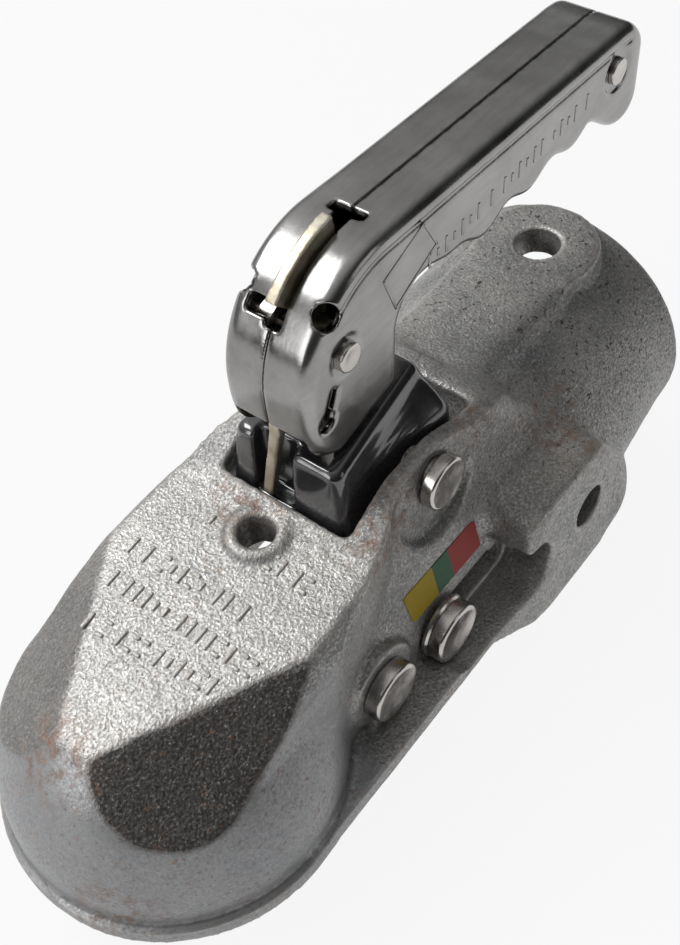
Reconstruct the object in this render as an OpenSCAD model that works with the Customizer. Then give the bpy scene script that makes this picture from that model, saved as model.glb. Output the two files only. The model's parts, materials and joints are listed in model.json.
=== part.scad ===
// Trailer coupling head: a cast housing that drops over a towing ball and is bolted to a round drawbar.
// X runs back along the drawbar, Z is up, and the origin is the centre of the ball on the drawbar's axis.

/* [Ball socket] */
// Diameter of the towing ball
ball_d = 50; // [49:0.5:50.5]
// Gap between the ball and its seats
ball_gap = 0.4; // [0.2:0.1:0.6]
// Outer radius of the nose dome
nose_r = 47.5; // [46:0.5:49]
// Outer radius of the rim round the nose
rim_r = 50.2; // [49.5:0.1:52]
// Distance of the rim's lower face below the ball's centre
rim_drop = 13.4; // [12:0.1:15]
// Height of the rim band
rim_h = 6; // [4:0.5:6.5]
// Angle at which the ball enters, from straight up
entry_angle = 35; // [30:1:38]

/* [Housing] */
// Half width of the side walls near the slot
wall_y = 37.2; // [36.5:0.1:38]
// Half width of the ears at their top
ear_y = 27.3; // [26.5:0.1:28.5]
// Height at which the side walls start to lean in
lean_from = 4; // [2:0.5:6]
// Height of the ears' peak
ear_top = 55.6; // [54:0.1:57]
// Thickness of the cast side walls
wall_t = 7; // [6:0.5:7.5]
// Height of the top facet above the ball's centre
facet_z = 41.6; // [40.5:0.1:42.5]
// Rise of the top facet for each millimetre back
facet_rise = 0.1; // [0.07:0.01:0.12]
// Front end of the window for the handle
window_front = 55.5; // [54.5:0.5:56]
// Rear end of the window for the handle
window_rear = 112; // [111.5:0.5:113]
// Half width of the window
window_y = 21.5; // [21:0.25:22]
// Radius of the sight hole in front of the window
sight_r = 5.2; // [4:0.1:6]
// Distance of the sight hole from the ball's axis
sight_x = 44.4; // [43.5:0.1:45]

/* [Drawbar socket] */
// Diameter of the round drawbar
tube_bore_d = 70; // [68:1:72]
// Wall of the drawbar socket
tube_wall = 8; // [7:0.5:9]
// Rear end of the socket
tube_end = 201.5; // [198:0.5:206]
// Depth of the socket
tube_depth = 82; // [78:1:82]
// Diameter of the two clamping bolt holes
bolt_d = 14.5; // [12.5:0.5:16.5]
// Distance of the upright bolt hole from the ball's axis
bolt_up_x = 180.7; // [178:0.1:183]
// Distance of the cross bolt hole from the ball's axis
bolt_cross_x = 132.6; // [131:0.1:135]
// Half width over the two flat lugs of the cross bolt
lug_y = 50.9; // [49.5:0.1:53]

/* [Pivots] */
// Main pivot of the handle, along the drawbar
pivot_x = 85.7; // [85:0.1:86.5]
// Main pivot of the handle, above the drawbar's axis
pivot_z = 46.3; // [45.5:0.1:47]
// Radius of the main pivot pin
pivot_r = 6; // [5:0.1:6.5]
// Jaw pivot, along the drawbar
jaw_x = 45; // [44:0.1:46]
// Jaw pivot, above the drawbar's axis
jaw_z = 5; // [4:0.1:6]
// Radius of the jaw pivot pin
jaw_pin_r = 6; // [5:0.1:6.5]
// Indicator pin with the handle shut, along the drawbar
ind_x = 72.6; // [72:0.1:73]
// Travel of the indicator pin
ind_travel = 28.4; // [27:0.1:29]
// Radius of the indicator pin
ind_r = 5; // [4.5:0.1:5.2]
// Radial running gap of every pin
pin_gap = 0.05; // [0.02:0.01:0.1]

/* [Handle] */
// Half width of the handle
grip_y = 13.4; // [13:0.1:14]
// Thickness of the pressed sheet
sheet_t = 2.4; // [2:0.1:2.6]
// Height of the handle's top where the bend starts
grip_top = 120.3; // [119:0.1:121]
// Fall of the handle's top toward the tip, in degrees
grip_pitch = 3.75; // [3:0.25:4.5]
// Outer radius of the bend
bend_r = 33; // [32:0.5:34]
// Rear end of the handle
grip_end = 212.5; // [211:0.5:215]
// Pitch of the finger waves
wave_pitch = 21.5; // [20:0.5:23]
// Depth of the finger waves
wave_h = 1.6; // [0:0.1:2]
// Half width of the seam between the two halves
seam_gap = 0.15; // [0.1:0.05:0.3]
// Radius of the pressed edges
edge_r = 3; // [2:0.25:3.5]

/* [Latch and lever] */
// Thickness of the latch plate and of the catch strap
latch_t = 3.2; // [2.5:0.1:3.6]
// Thickness of each lever plate
lever_t = 4; // [3:0.25:4.25]
// Distance of the lever plates' inner faces from the middle
lever_in = 5.2; // [5:0.1:5.4]
// Radius of the two handle rivets
rivet_r = 2.8; // [2.4:0.1:3]
// Clearance between pieces that move past each other
clear = 0.35; // [0.3:0.05:0.5]

/* [Hidden] */
$fn = 72;
big = 400;
eps = 0.02;

iron = [0.66, 0.67, 0.68];
zinc = [0.72, 0.73, 0.75];
yellow_zinc = [0.74, 0.70, 0.55];
black = [0.05, 0.05, 0.06];
spring_steel = [0.35, 0.35, 0.37];

ball_r = ball_d / 2;
seat_r = ball_r + ball_gap;
rim_z = -rim_drop;
ledge_z = rim_z + rim_h;
skirt_y = rim_r - 0.8;
tube_r = tube_bore_d / 2;
tube_out = tube_r + tube_wall;
tube_stop = tube_end - tube_depth;
bolt_r = bolt_d / 2;
lean = (wall_y - ear_y) / (50 - lean_from);
bulkhead = window_rear;
pad_top = tube_out + 2.2;

// Rear rest of the handle and the arc that the indicator pin's fork follows
fork_len = pivot_z;
fork_angle = atan((pivot_x - ind_x) / fork_len);
slot_r = ind_r + clear;
slot_front = ind_x - clear;
slot_rear = ind_x + ind_travel + clear;

// Bend of the handle
bend_c = [grip_end - 124.5, grip_top - bend_r];
front_x = bend_c[0] - bend_r;
latch_p = [front_x + 16.5, bend_c[1] + 9.5];
tip_p = [grip_end - 15.5, grip_top - 18.5];

// Points of an arc in the plane, from one angle to another
function arc(c, r, a, b, n) = [for (i = [0:n]) c + r * [cos(a + (b - a) * i / n), sin(a + (b - a) * i / n)]];
function unit(v) = v / norm(v);
function ease(t) = let(s = min(max(t, 0), 1)) s * s * (3 - 2 * s);
// Height of the handle's straight top at a place along it
function top_z(x) = bend_c[1] + bend_r * cos(grip_pitch) - (x - bend_c[0] - bend_r * sin(grip_pitch)) * tan(grip_pitch);
// Height of the handle's underside with its finger waves
function under_z(x) = let(t = ease((x - bend_c[0] - 15) / 26))
    grip_top - 22.8 - 6.4 * t - wave_h * t * cos(360 * (x - bend_c[0] - 43.5) / wave_pitch);

wave_from = bend_c[0] + 17;
wave_to = grip_end - 30;
leg_rear = bend_c[0] + 4;
leg_low_z = bend_c[1] - 20.6;
nook_r = 12;
nook_c = [leg_rear + nook_r, under_z(wave_from) - nook_r + 0.4];

// Stations along the handle: a place on its outer line, one on its inner line, and the loss of half width
tip_stations = [
    [[0, -20.3], [-0.6, -27.5], 3], [[-0.5, -16.5], [-1.2, -31.5], 1.5], [[-2.6, -12.2], [-3.4, -35.6], 0.4],
    [[-6.6, -8.6], [-7.2, -38.2], 0], [[-12, -7.35], [-11.6, -38.6], 0], [[-17.5, -7], [-16.4, -36.8], 0],
    [[-22.8, -6.6], [-21.6, -32.8], 0], [[-27, -6.35], [-26, -29.6], 0]];
bend_steps = 16;
function bend_inner(t) = t < 0.6 ? nook_c + nook_r * [cos(98 + 80 * t / 0.6), sin(98 + 80 * t / 0.6)]
    : [leg_rear - (t - 0.6) * 1.2, nook_c[1] - (t - 0.6) * 17];
leg_stations = [
    [[front_x, bend_c[1] - 4], [leg_rear - 0.6, bend_c[1] - 9.6], 0],
    [[front_x + 0.4, bend_c[1] - 8.5], [leg_rear - 0.9, bend_c[1] - 11.4], 0],
    [[front_x + 1.6, bend_c[1] - 13], [leg_rear - 1.2, bend_c[1] - 12.8], 0],
    [[front_x + 4.4, bend_c[1] - 17.4], [leg_rear - 1.5, bend_c[1] - 13.8], 0],
    [[front_x + 9, leg_low_z], [leg_rear - 2, bend_c[1] - 14.6], 0]];
stations = concat(
    [for (s = tip_stations) [[grip_end, grip_top] + s[0], [grip_end, grip_top] + s[1], s[2]]],
    [for (i = [0:19]) let(x = wave_to + (wave_from - wave_to) * i / 19) [[x, top_z(x)], [x, under_z(x)], 0]],
    [for (i = [1:bend_steps]) let(t = i / bend_steps, a = 90 - grip_pitch + (90 + grip_pitch) * t)
        [bend_c + bend_r * [cos(a), sin(a)], bend_inner(t), 0]],
    leg_stations);

// Half cross-section at a station, from the seam round the side and back, moved in by a wall thickness
function half_ring(s, seam, wall, r) =
    let(u = unit(s[1] - s[0]), a = s[0] + wall * u, b = s[1] - wall * u, w = grip_y - s[2] - wall)
    concat([[a[0], seam, a[1]]],
        [for (k = [0:3]) let(q = a + r * (1 - cos(30 * k)) * u) [q[0], w - r * (1 - sin(30 * k)), q[1]]],
        [for (k = [3:-1:0]) let(q = b - r * (1 - cos(30 * k)) * u) [q[0], w - r * (1 - sin(30 * k)), q[1]]],
        [[b[0], seam, b[1]]]);

// Closed solid through equal rings of points that turn anticlockwise about the way they follow
module loft(rings) {
    n = len(rings[0]);
    k = len(rings);
    polyhedron(points = [for (r = rings) each r],
        faces = concat([[for (i = [0:n - 1]) i]],
            [for (j = [0:k - 2]) for (i = [0:n - 1])
                [j * n + i, (j + 1) * n + i, (j + 1) * n + (i + 1) % n, j * n + (i + 1) % n]],
            [[for (i = [n - 1:-1:0]) (k - 1) * n + i]]), convexity = 10);
}

// Round wire along a path of points
module wire(path, r, sides = 8) {
    n = len(path);
    loft([for (i = [0:n - 1])
        let(t = unit(path[min(i + 1, n - 1)] - path[max(i - 1, 0)]),
            s = unit(cross(t, abs(t[1]) > 0.9 ? [0, 0, 1] : [0, 1, 0])), w = cross(t, s))
        [for (j = [0:sides - 1]) path[i] + r * (cos(360 * j / sides) * s + sin(360 * j / sides) * w)]]);
}

// Cylinder along Y through a place in the side view
module bar(p, r, y0, y1) {
    translate([p[0], y0, p[1]]) rotate([-90, 0, 0]) cylinder(r = r, h = y1 - y0);
}

// Side-view outline drawn out along Y
module across(y0, y1) {
    translate([0, y1, 0]) rotate([90, 0, 0]) linear_extrude(y1 - y0) children();
}

// Section drawn out along X
module along(x0, x1) {
    translate([x0, 0, 0]) rotate([90, 0, 90]) linear_extrude(x1 - x0) children();
}

// Everything below a plane, given by a point and the plane's upward normal
module below(p, n) {
    tilt = acos(n[2] / norm(n));
    turn = atan2(n[1], n[0]);
    translate(p) rotate([0, 0, turn]) rotate([0, tilt, 0]) translate([-big / 2, -big / 2, -big]) cube(big);
}

// Rounded bar shape between two places in the side view
module stadium(a, b, r) {
    d = unit(b - a);
    w = r * [-d[1], d[0]];
    translate(a) circle(r);
    translate(b) circle(r);
    polygon([a + w, a - w, b - w, b + w]);
}

// Side facets of the nose: one plane, mirrored
side_n = [-0.36, -0.5, 0.79];
side_d = facet_z + 1.8;
shoulder_y = wall_y + 1.3;

function facet_top(x) = facet_z + facet_rise * x;

// Everything below the three flat facets of the nose
module under_facets() {
    intersection() {
        below([0, 0, facet_z], [-facet_rise, 0, 1]);
        below(side_d * unit(side_n) / norm(side_n), side_n);
        mirror([0, 1, 0]) below(side_d * unit(side_n) / norm(side_n), side_n);
    }
}

module nose() {
    intersection() {
        union() {
            sphere(nose_r);
            translate([0, 0, rim_z]) cylinder(r = nose_r + 0.25, h = rim_drop - 1);
            shoulder();
        }
        translate([-big / 2, -big / 2, rim_z]) cube(big);
        under_facets();
    }
}

// Squarer part of the nose that runs back into the side walls and the front of the ears
module shoulder() {
    shoulder_end = window_front + 15;
    intersection() {
        along(-6, shoulder_end) polygon([[-shoulder_y, rim_z + 1], [shoulder_y, rim_z + 1],
            [shoulder_y, 33], [shoulder_y - 1.9, 39.5], [shoulder_y - 9, 54], [-shoulder_y + 9, 54],
            [-shoulder_y + 1.9, 39.5], [-shoulder_y, 33]]);
        translate([0, 0, rim_z]) linear_extrude(big / 4) polygon([[-6, -shoulder_y], [26, -shoulder_y],
            [window_front + 5, -ear_y - 3.6], [shoulder_end, -ear_y + 0.6], [shoulder_end, ear_y - 0.6],
            [window_front + 5, ear_y + 3.6], [26, shoulder_y], [-6, shoulder_y]]);
    }
}

rear_rim = tube_out + 6.4;
draw_x = window_rear - 8;
draw_in = 20.5;

// Section of the upper body: upright near the slot, then leaning in to the ears
module body_section(t = 0) {
    polygon([[-wall_y + t, rim_z - 1], [wall_y - t, rim_z - 1], [wall_y - t, lean_from],
        [wall_y - t - lean * (60 - lean_from), 60], [-wall_y + t + lean * (60 - lean_from), 60],
        [-wall_y + t, lean_from]]);
}

// Side view of the upper body with the ear's hump
module body_profile() {
    hump = [for (i = [0:16]) let(x = window_front - 7.5 + i * 3.8) [x, ear_line(x)]];
    polygon(concat([[20, rim_z], [20, facet_top(20)]], hump,
        [[window_rear + 7, rear_rim - 0.5], [window_rear + 8.5, rear_rim - 2.6], [window_rear + 13, tube_out + 1],
         [window_rear + 17, 36], [window_rear + 28, 20], [window_rear + 28, 0], [window_rear + 8, rim_z - 4],
         [window_rear - 12, rim_z]]));
}

// Top line of the ears, a smooth hump over the main pivot
function ear_line(x) = let(a = ease((x - window_front + 8) / 27), b = ease((x - pivot_x - 1) / 22))
    facet_top(window_front - 8) + (ear_top - facet_top(window_front - 8)) * a - (ear_top - rear_rim) * b;

module upper_body() {
    intersection() {
        across(-big / 2, big / 2) body_profile();
        union() {
            along(24, window_rear + 29) body_section();
            shoulder();
        }
        // The side walls draw in to meet the socket
        drawn_y = wall_y + 0.5 - 36 * tan(draw_in);
        translate([0, 0, -big / 2]) linear_extrude(big) polygon([[0, -big], [draw_x, -big],
            [draw_x, -wall_y - 0.5], [draw_x + 36, -drawn_y], [draw_x + 36, drawn_y],
            [draw_x, wall_y + 0.5], [draw_x, big], [0, big]]);
        union() {
            under_facets();
            translate([window_front - 9, -big / 2, -big / 2]) cube(big);
        }
    }
}

// Rim band with its straight skirts, sloping down to the lugs
module rim() {
    skirt_end = window_rear - 26;
    translate([0, 0, rim_z]) linear_extrude(rim_h) {
        circle(rim_r);
        translate([0, -skirt_y]) square([skirt_end, 2 * skirt_y]);
    }
    across(-skirt_y, skirt_y) polygon([[skirt_end - 12, rim_z], [skirt_end - 12, ledge_z],
        [skirt_end, ledge_z], [lug_front + 6, ledge_z + 4], [lug_front + 6, -31], [skirt_end - 4, rim_z]]);
}

lug_front = bolt_cross_x - 33;
lug_rear = bolt_cross_x + 29;
lug_low = -33;
lug_high = 24.9;
lug_blend = 8;

// Side outline of the lug, rising out of the rim and falling away behind the bolt
module lug_outline() {
    polygon(concat([[lug_front - 15, rim_z], [lug_front - 14, ledge_z - 1], [lug_front - 9, ledge_z + 0.5],
        [lug_front - 5, ledge_z + 5], [lug_front - 1.5, 3], [lug_front, 12]],
        arc([lug_front + 8, lug_high - 8], 8, 175, 95, 6),
        [[lug_rear - 24, lug_high]],
        arc([lug_rear - 42, lug_low + 12], 42, 45, 0, 10),
        arc([lug_rear - 9, lug_low + 11], 9, 0, -80, 6),
        [[lug_front + 24, lug_low - 2], [lug_front + 4, lug_low + 5]]));
}

// Block with flat machined faces for the cross bolt
module lug_block() {
    intersection() {
        across(-lug_y, lug_y) lug_outline();
        along(lug_front - 20, lug_rear + 1) polygon([[-lug_y, lug_low + 3], [-lug_y + 5, lug_low - 4],
            [lug_y - 5, lug_low - 4], [lug_y, lug_low + 3], [lug_y, lug_high - 1.2],
            [lug_y - 6, lug_high + 1], [-lug_y + 6, lug_high + 1], [-lug_y, lug_high - 1.2]]);
        // The front end rounds in to the side wall
        translate([0, 0, -big / 4]) linear_extrude(big / 2) polygon([[lug_front - 18, -wall_y + 1],
            [lug_front - 18, -rim_r + 0.6], [lug_front - 7, -rim_r + 0.2], [lug_front + 4, -lug_y],
            [lug_rear + 1, -lug_y], [lug_rear + 1, lug_y], [lug_front + 4, lug_y],
            [lug_front - 7, rim_r - 0.2], [lug_front - 18, rim_r - 0.6], [lug_front - 18, wall_y - 1]]);
    }
    for (s = [-1, 1]) {
        // Wide hollow roundings from the lugs up to the walls, which draw in, and to the socket
        hollow_y = lug_blend / cos(atan(lean)) - lean * (lug_high + lug_blend - lean_from);
        hollow = concat([[s * -9, lug_high - 3]], arc([s * hollow_y, lug_high + lug_blend],
            lug_blend, 270, s > 0 ? 180 + atan(lean) : 360 - atan(lean), 6));
        turn_x = window_rear + 7;
        translate([0, s * wall_y, 0]) along(lug_front + 9, turn_x + 0.5) polygon(hollow);
        translate([turn_x, s * wall_y, 0]) rotate(-s * draw_in) along(0, 12) polygon(hollow);
        reach = tube_out + lug_blend;
        rise = lug_high + lug_blend;
        turn = acos(rise / reach);
        along(window_rear + 8, lug_rear - 24) polygon(concat([[s * 26, lug_high - 3]],
            arc([s * reach * sin(turn), rise], lug_blend, 270, s > 0 ? 270 - turn : 270 + turn, 5)));
        // Behind the bolt the lug runs out along the socket
        intersection() {
            translate([lug_rear + 34, 0, 0]) rotate([0, 0, -s * 5]) rotate([0, -96.5, 0])
                cylinder(r = tube_out - 0.3, h = 55, $fn = 40);
            translate([lug_rear - 20, s > 0 ? 0 : -60, lug_low - 2.5]) cube([54, 60, 60]);
        }
    }
}

// Socket for the drawbar with its flat round pad
module drawbar_socket() {
    rotate([0, 90, 0]) rotate_extrude() polygon([[0, window_rear - 4], [tube_out - 9, window_rear - 4],
        [tube_out - 2, window_rear + 2], [tube_out, window_rear + 9], [tube_out, tube_end - 1.2],
        [tube_out - 1.2, tube_end], [0, tube_end]]);
    translate([bolt_up_x, 0, 0]) cylinder(r = 19.5, h = pad_top);
    across(-18, 18) polygon([[window_rear, 20], [window_rear, tube_out + 3.4], [window_rear + 22, tube_out + 2.4],
        [bolt_up_x, pad_top], [bolt_up_x, 20]]);
}

// Cavity for the jaw and lever, following the walls
module cavity() {
    roof = facet_top(30) - 11;
    intersection() {
        across(-big / 2, big / 2) polygon([[22, rim_z - 30], [22, 12], [34, roof - 3], [40, roof],
            [window_front, roof + 1], [window_front, 80], [bulkhead, 80], [bulkhead, rim_z - 30]]);
        along(15, bulkhead + 1) polygon([[-wall_y + wall_t, -60], [wall_y - wall_t, -60],
            [wall_y - wall_t, lean_from], [window_y, pivot_z - 4], [window_y, 80],
            [-window_y, 80], [-window_y, pivot_z - 4], [-wall_y + wall_t, lean_from]]);
    }
}

// Ball seat with the slanted way in
module ball_seat() {
    sphere(seat_r);
    rotate([0, -entry_angle, 0]) mirror([0, 0, 1]) cylinder(r = seat_r + 0.3, h = 60);
    translate([0, 0, rim_z - 0.01]) cylinder(r1 = seat_r + 6, r2 = seat_r - 2, h = rim_h);
}

module housing() {
    color(iron) difference() {
        union() {
            nose();
            upper_body();
            rim();
            lug_block();
            drawbar_socket();
            bar([jaw_x, jaw_z], jaw_boss_r, -jaw_face, jaw_face);
            // Raised collar round the sight hole
            translate([sight_x, 0, facet_top(sight_x) - 4]) cylinder(r = sight_r + 3.5, h = 5.4);
        }
        cavity();
        ball_seat();
        // Room for the jaw's ends
        intersection() {
            translate([0, 0, -60]) cylinder(r = jaw_out + 0.8, h = 60 + jaw_top + 0.8);
            translate([jaw_front - 0.8, -jaw_half - 0.8, -80]) cube([60, 2 * jaw_half + 1.6, 120]);
        }
        // Drawbar socket and the opening in its stop
        translate([tube_stop, 0, 0]) rotate([0, 90, 0]) cylinder(r = tube_r, h = big);
        translate([bulkhead - 1, 0, 0]) rotate([0, 90, 0]) cylinder(r = 20, h = 40);
        // Flat underneath for the upright bolt
        translate([bolt_up_x, 0, -tube_out - 5]) cylinder(r = 14, h = 6.2);
        translate([bolt_up_x, 0, -big / 2]) cylinder(r = bolt_r, h = big);
        bar([bolt_cross_x, 0], bolt_r, -big / 2, big / 2);
        translate([sight_x, 0, 0]) cylinder(r = sight_r, h = big);
        // Pin holes and their spot faces
        bar([pivot_x, pivot_z], pivot_r + pin_gap, -big / 2, big / 2);
        bar([jaw_x, jaw_z], jaw_pin_r + pin_gap, -big / 2, big / 2);
        for (s = [-1, 1]) {
            across(s > 0 ? pivot_face : -big / 2, s > 0 ? big / 2 : -pivot_face)
                translate([pivot_x - 1.5, pivot_z - 2]) circle(17);
            across(s > 0 ? wall_y : -big / 2, s > 0 ? big / 2 : -wall_y)
                stadium([ind_x, 0], [slot_rear, 0], washer_r + clear);
            across(s > 0 ? jaw_face : -big / 2, s > 0 ? big / 2 : -jaw_face)
                translate([jaw_x, jaw_z]) circle(jaw_head_r + 0.8);
        }
        across(-big / 2, big / 2) stadium([slot_front, 0], [slot_rear, 0], slot_r);
    }
}

pivot_face = wall_y - lean * (pivot_z - lean_from) + 0.3;
pivot_head_r = 8;
pivot_head_t = 4;
jaw_face = wall_y + 1;
jaw_boss_r = 13;
jaw_head_r = 9.2;
jaw_head_t = 4.8;
washer_r = 10;
washer_t = 2;
ring_t = 1.6;

// Headed pin along Y, with its head on the near side and a groove for a ring on the far side
module headed_pin(p, r, face, head_r, head_t, tail) {
    bar(p, r, -face, face + tail);
    translate([p[0], -face, p[1]]) rotate([90, 0, 0]) rotate_extrude()
        polygon([[0, 0], [head_r, 0], [head_r, head_t - 0.9], [head_r - 0.9, head_t], [0, head_t]]);
}

// Push-on ring on the far end of a pin
module end_ring(p, r, face, ring_r) {
    difference() {
        bar(p, ring_r, face, face + ring_t);
        bar(p, r, face - 1, face + ring_t + 1);
        translate([p[0] - r * 0.5, face - 1, p[1]]) cube([r, ring_t + 2, ring_r + 1]);
    }
}

module main_pivot_pin() {
    color(zinc) headed_pin([pivot_x, pivot_z], pivot_r, pivot_face, pivot_head_r, pivot_head_t, 3.4);
}

module main_pin_ring() {
    color(zinc) end_ring([pivot_x, pivot_z], pivot_r, pivot_face, pivot_r + 3.4);
}

module jaw_pivot_pin() {
    color(zinc) headed_pin([jaw_x, jaw_z], jaw_pin_r, jaw_face, jaw_head_r, jaw_head_t, 3.4);
}

module jaw_pin_ring() {
    color(zinc) end_ring([jaw_x, jaw_z], jaw_pin_r, jaw_face, jaw_pin_r + 3);
}

// Sleeve on the main pin between the lever plates
module main_bush() {
    color(zinc) difference() {
        bar([pivot_x, pivot_z], bush_r, -lever_in, lever_in);
        bar([pivot_x, pivot_z], pivot_r + pin_gap, -big / 2, big / 2);
    }
}

bush_r = pivot_r + 2.6;
main_wire = 1.1;
main_coil = bush_r + main_wire + 0.4;

// Torsion spring round the sleeve, with a leg along the lever and a leg to the rear
module main_spring() {
    turns = 3;
    half = lever_in - main_wire - 0.25;
    steps = 20 * turns;
    coil = [for (i = [0:steps])
        let(a = 80 + 360 * turns * i / steps)
        [pivot_x + main_coil * cos(a), -half + 2 * half * i / steps, pivot_z + main_coil * sin(a)]];
    start = coil[0] + 11 * [sin(80), 0, -cos(80)];
    finish = coil[steps] + 12 * [-sin(80), 0, cos(80)];
    color(spring_steel) wire(concat([start], coil, [finish]), main_wire);
}

jaw_in = seat_r;
jaw_out = seat_r + 7.5;
jaw_front = 10;
jaw_top = 5;
jaw_low = rim_z + 0.6;
jaw_half = wall_y - wall_t - 5.5;
jaw_hub_r = jaw_pin_r + 4;
tail_y = lever_in - 0.7;

// Jaw that closes round the back of the ball
module ball_jaw() {
    color(iron) difference() {
        union() {
            intersection() {
                rotate_extrude() polygon(concat([[jaw_out, jaw_low], [jaw_out, jaw_top], [jaw_in, jaw_top]],
                    [for (a = [11:-4:-29]) jaw_in * [cos(a), sin(a)]]));
                translate([jaw_front, -jaw_half, -30]) cube([40, 2 * jaw_half, 60]);
            }
            bar([jaw_x, jaw_z], jaw_hub_r, -jaw_half, jaw_half);
            across(-jaw_half, -jaw_half + 9) jaw_cheek();
            across(jaw_half - 9, jaw_half) jaw_cheek();
            across(-tail_y, tail_y) polygon([[jaw_out - 3, -8], [jaw_out - 3, jaw_top], [jaw_x, jaw_z + 6],
                [ind_x - 5, jaw_z + 1], [ind_x - 5, -4], [jaw_x, jaw_z - 10.5]]);
        }
        sphere(jaw_in);
        bar([jaw_x, jaw_z], jaw_pin_r + pin_gap, -big / 2, big / 2);
        bar([ind_x, 0], roller_r + clear, -big / 2, big / 2);
        // Room for the spring on the jaw's hub
        for (s = [-1, 1]) difference() {
            bar([jaw_x, jaw_z], jaw_hub_r + 4, s > 0 ? tail_y + 2 : -jaw_half + 9.2,
                s > 0 ? jaw_half - 9.2 : -tail_y - 2);
            bar([jaw_x, jaw_z], jaw_pin_r + 1.4, -big / 2, big / 2);
        }
    }
}

module jaw_cheek() {
    polygon([[jaw_out - 6, jaw_low + 2], [jaw_out - 6, jaw_top], [jaw_x, jaw_z + 6],
        [jaw_x + 5, jaw_z], [jaw_x, jaw_z - 8]]);
}

// Torsion spring on the jaw's hub
module jaw_spring() {
    r = 0.9;
    coil_r = jaw_pin_r + 1.4 + r + 0.25;
    y0 = tail_y + 2.4 + r;
    y1 = jaw_half - 9.6 - r;
    turns = 3;
    steps = 20 * turns;
    coil = [for (i = [0:steps])
        let(a = -100 + 360 * turns * i / steps)
        [jaw_x + coil_r * cos(a), y0 + (y1 - y0) * i / steps, jaw_z + coil_r * sin(a)]];
    start = coil[0] + 6 * [sin(-100), 0, -cos(-100)];
    color(spring_steel) wire(concat([start], coil), r);
}

roller_r = 9.6;
ind_head_r = 9.5;
ind_head_t = 4.6;
washer_y = wall_y + clear;

// Pin whose place in the slot shows the state of the coupling
module indicator_pin() {
    face = washer_y + washer_t;
    color(zinc) {
        bar([ind_x, 0], ind_r, -face, face);
        for (s = [-1, 1]) translate([ind_x, s * face, 0]) rotate([s * -90, 0, 0]) rotate_extrude()
            polygon([[0, 0], [ind_head_r, 0], [ind_head_r, ind_head_t - 0.9],
                [ind_head_r - 0.9, ind_head_t], [0, ind_head_t]]);
    }
}

module indicator_washer(s) {
    difference() {
        bar([ind_x, 0], washer_r, s > 0 ? washer_y : -washer_y - washer_t, s > 0 ? washer_y + washer_t : -washer_y);
        bar([ind_x, 0], ind_r + pin_gap, -big / 2, big / 2);
    }
}

module indicator_washer_left() {
    color(zinc) indicator_washer(1);
}

module indicator_washer_right() {
    color(zinc) indicator_washer(-1);
}

// Roller that wedges behind the jaw's tail
module lock_roller() {
    color(zinc) difference() {
        bar([ind_x, 0], roller_r, -lever_in + clear, lever_in - clear);
        bar([ind_x, 0], ind_r + pin_gap, -big / 2, big / 2);
    }
}

// Lever plate: riveted in the handle, turning on the main pin, with a fork on the indicator pin
module lever_plate(s) {
    y0 = s > 0 ? lever_in : -lever_in - lever_t;
    p = [pivot_x, pivot_z];
    d = [-sin(fork_angle), -cos(fork_angle)];
    w = [-d[1], d[0]];
    half = ind_r + clear + 3.3;
    difference() {
        across(y0, y0 + lever_t) {
            translate(p) circle(13);
            polygon([p + 12 * w, p - 12 * w, p + 51 * d - half * w, p + 51 * d + half * w]);
            polygon([p + [-13, 0], p + [13, 0], [leg_rear - 6, leg_low_z + 8], [latch_p[0] + 9, latch_p[1] + 2],
                [latch_p[0], latch_p[1] + 8], [latch_p[0] - 7, latch_p[1]], [front_x + 10, bend_c[1] - 8]]);
            translate(latch_p) circle(8);
        }
        across(y0 - 1, y0 + lever_t + 1) {
            translate(p) circle(pivot_r + pin_gap);
            stadium(p + 45.5 * d, p + 60 * d, ind_r + clear);
            translate(latch_p) circle(rivet_r + pin_gap);
        }
    }
}

module lever_plate_left() {
    color(zinc) lever_plate(1);
}

module lever_plate_right() {
    color(zinc) lever_plate(-1);
}

// Half of the handle: a pressed shell, open underneath at the leg
module handle_half() {
    last = stations[len(stations) - 1];
    inner = concat([for (i = [3:len(stations) - 1]) stations[i]],
        [[last[0] + [2, -9], last[1] + [0, -9], 0]]);
    difference() {
        loft([for (s = stations) half_ring(s, seam_gap, 0, edge_r)]);
        loft([for (s = inner) half_ring(s, -2, sheet_t, edge_r - 1.6)]);
        // The bend's front wall stops above the ends of the sides
        across(-1, grip_y - sheet_t) polygon([[front_x - 5, bend_c[1] - 8.2], [front_x - 5, leg_low_z - 5],
            [front_x + 18, leg_low_z - 5], [front_x + 5, bend_c[1] - 8.2]]);
        grip_groove();
        // Slot of the latch plate along the bend
        across(-1, latch_t / 2 + 0.7) slot_shape(82, 144, 5);
        across(-1, 5) slot_shape(79, 85, 4.5);
        // Keyhole in the side
        across(grip_y - sheet_t - 1, grip_y + 1) {
            translate([front_x + 7.6, bend_c[1] - 6.2]) circle(3.1);
            polygon([[front_x + 6.8, bend_c[1] - 4], [front_x + 10.4, bend_c[1] + 3.2],
                [front_x + 12.8, bend_c[1] + 1.2], [front_x + 10, bend_c[1] - 5]]);
        }
        // Hole on the shoulder of the bend
        translate([bend_c[0], 0, bend_c[1]]) rotate([0, 50, 0]) translate([-bend_r + 2.4, grip_y - 2, 0])
            rotate([0, 0, -40]) rotate([0, -90, 0]) translate([0, 0, -3]) cylinder(r = 3.3, h = 9);
        bar(latch_p, rivet_r + pin_gap, -1, grip_y + 1);
        bar(latch_p, 5.6, grip_y - 0.7, grip_y + 1);
        bar(tip_p, rivet_r + pin_gap, -1, grip_y + 1);
        bar(tip_p, 6.6, grip_y - 0.9, grip_y + 1);
    }
}

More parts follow.
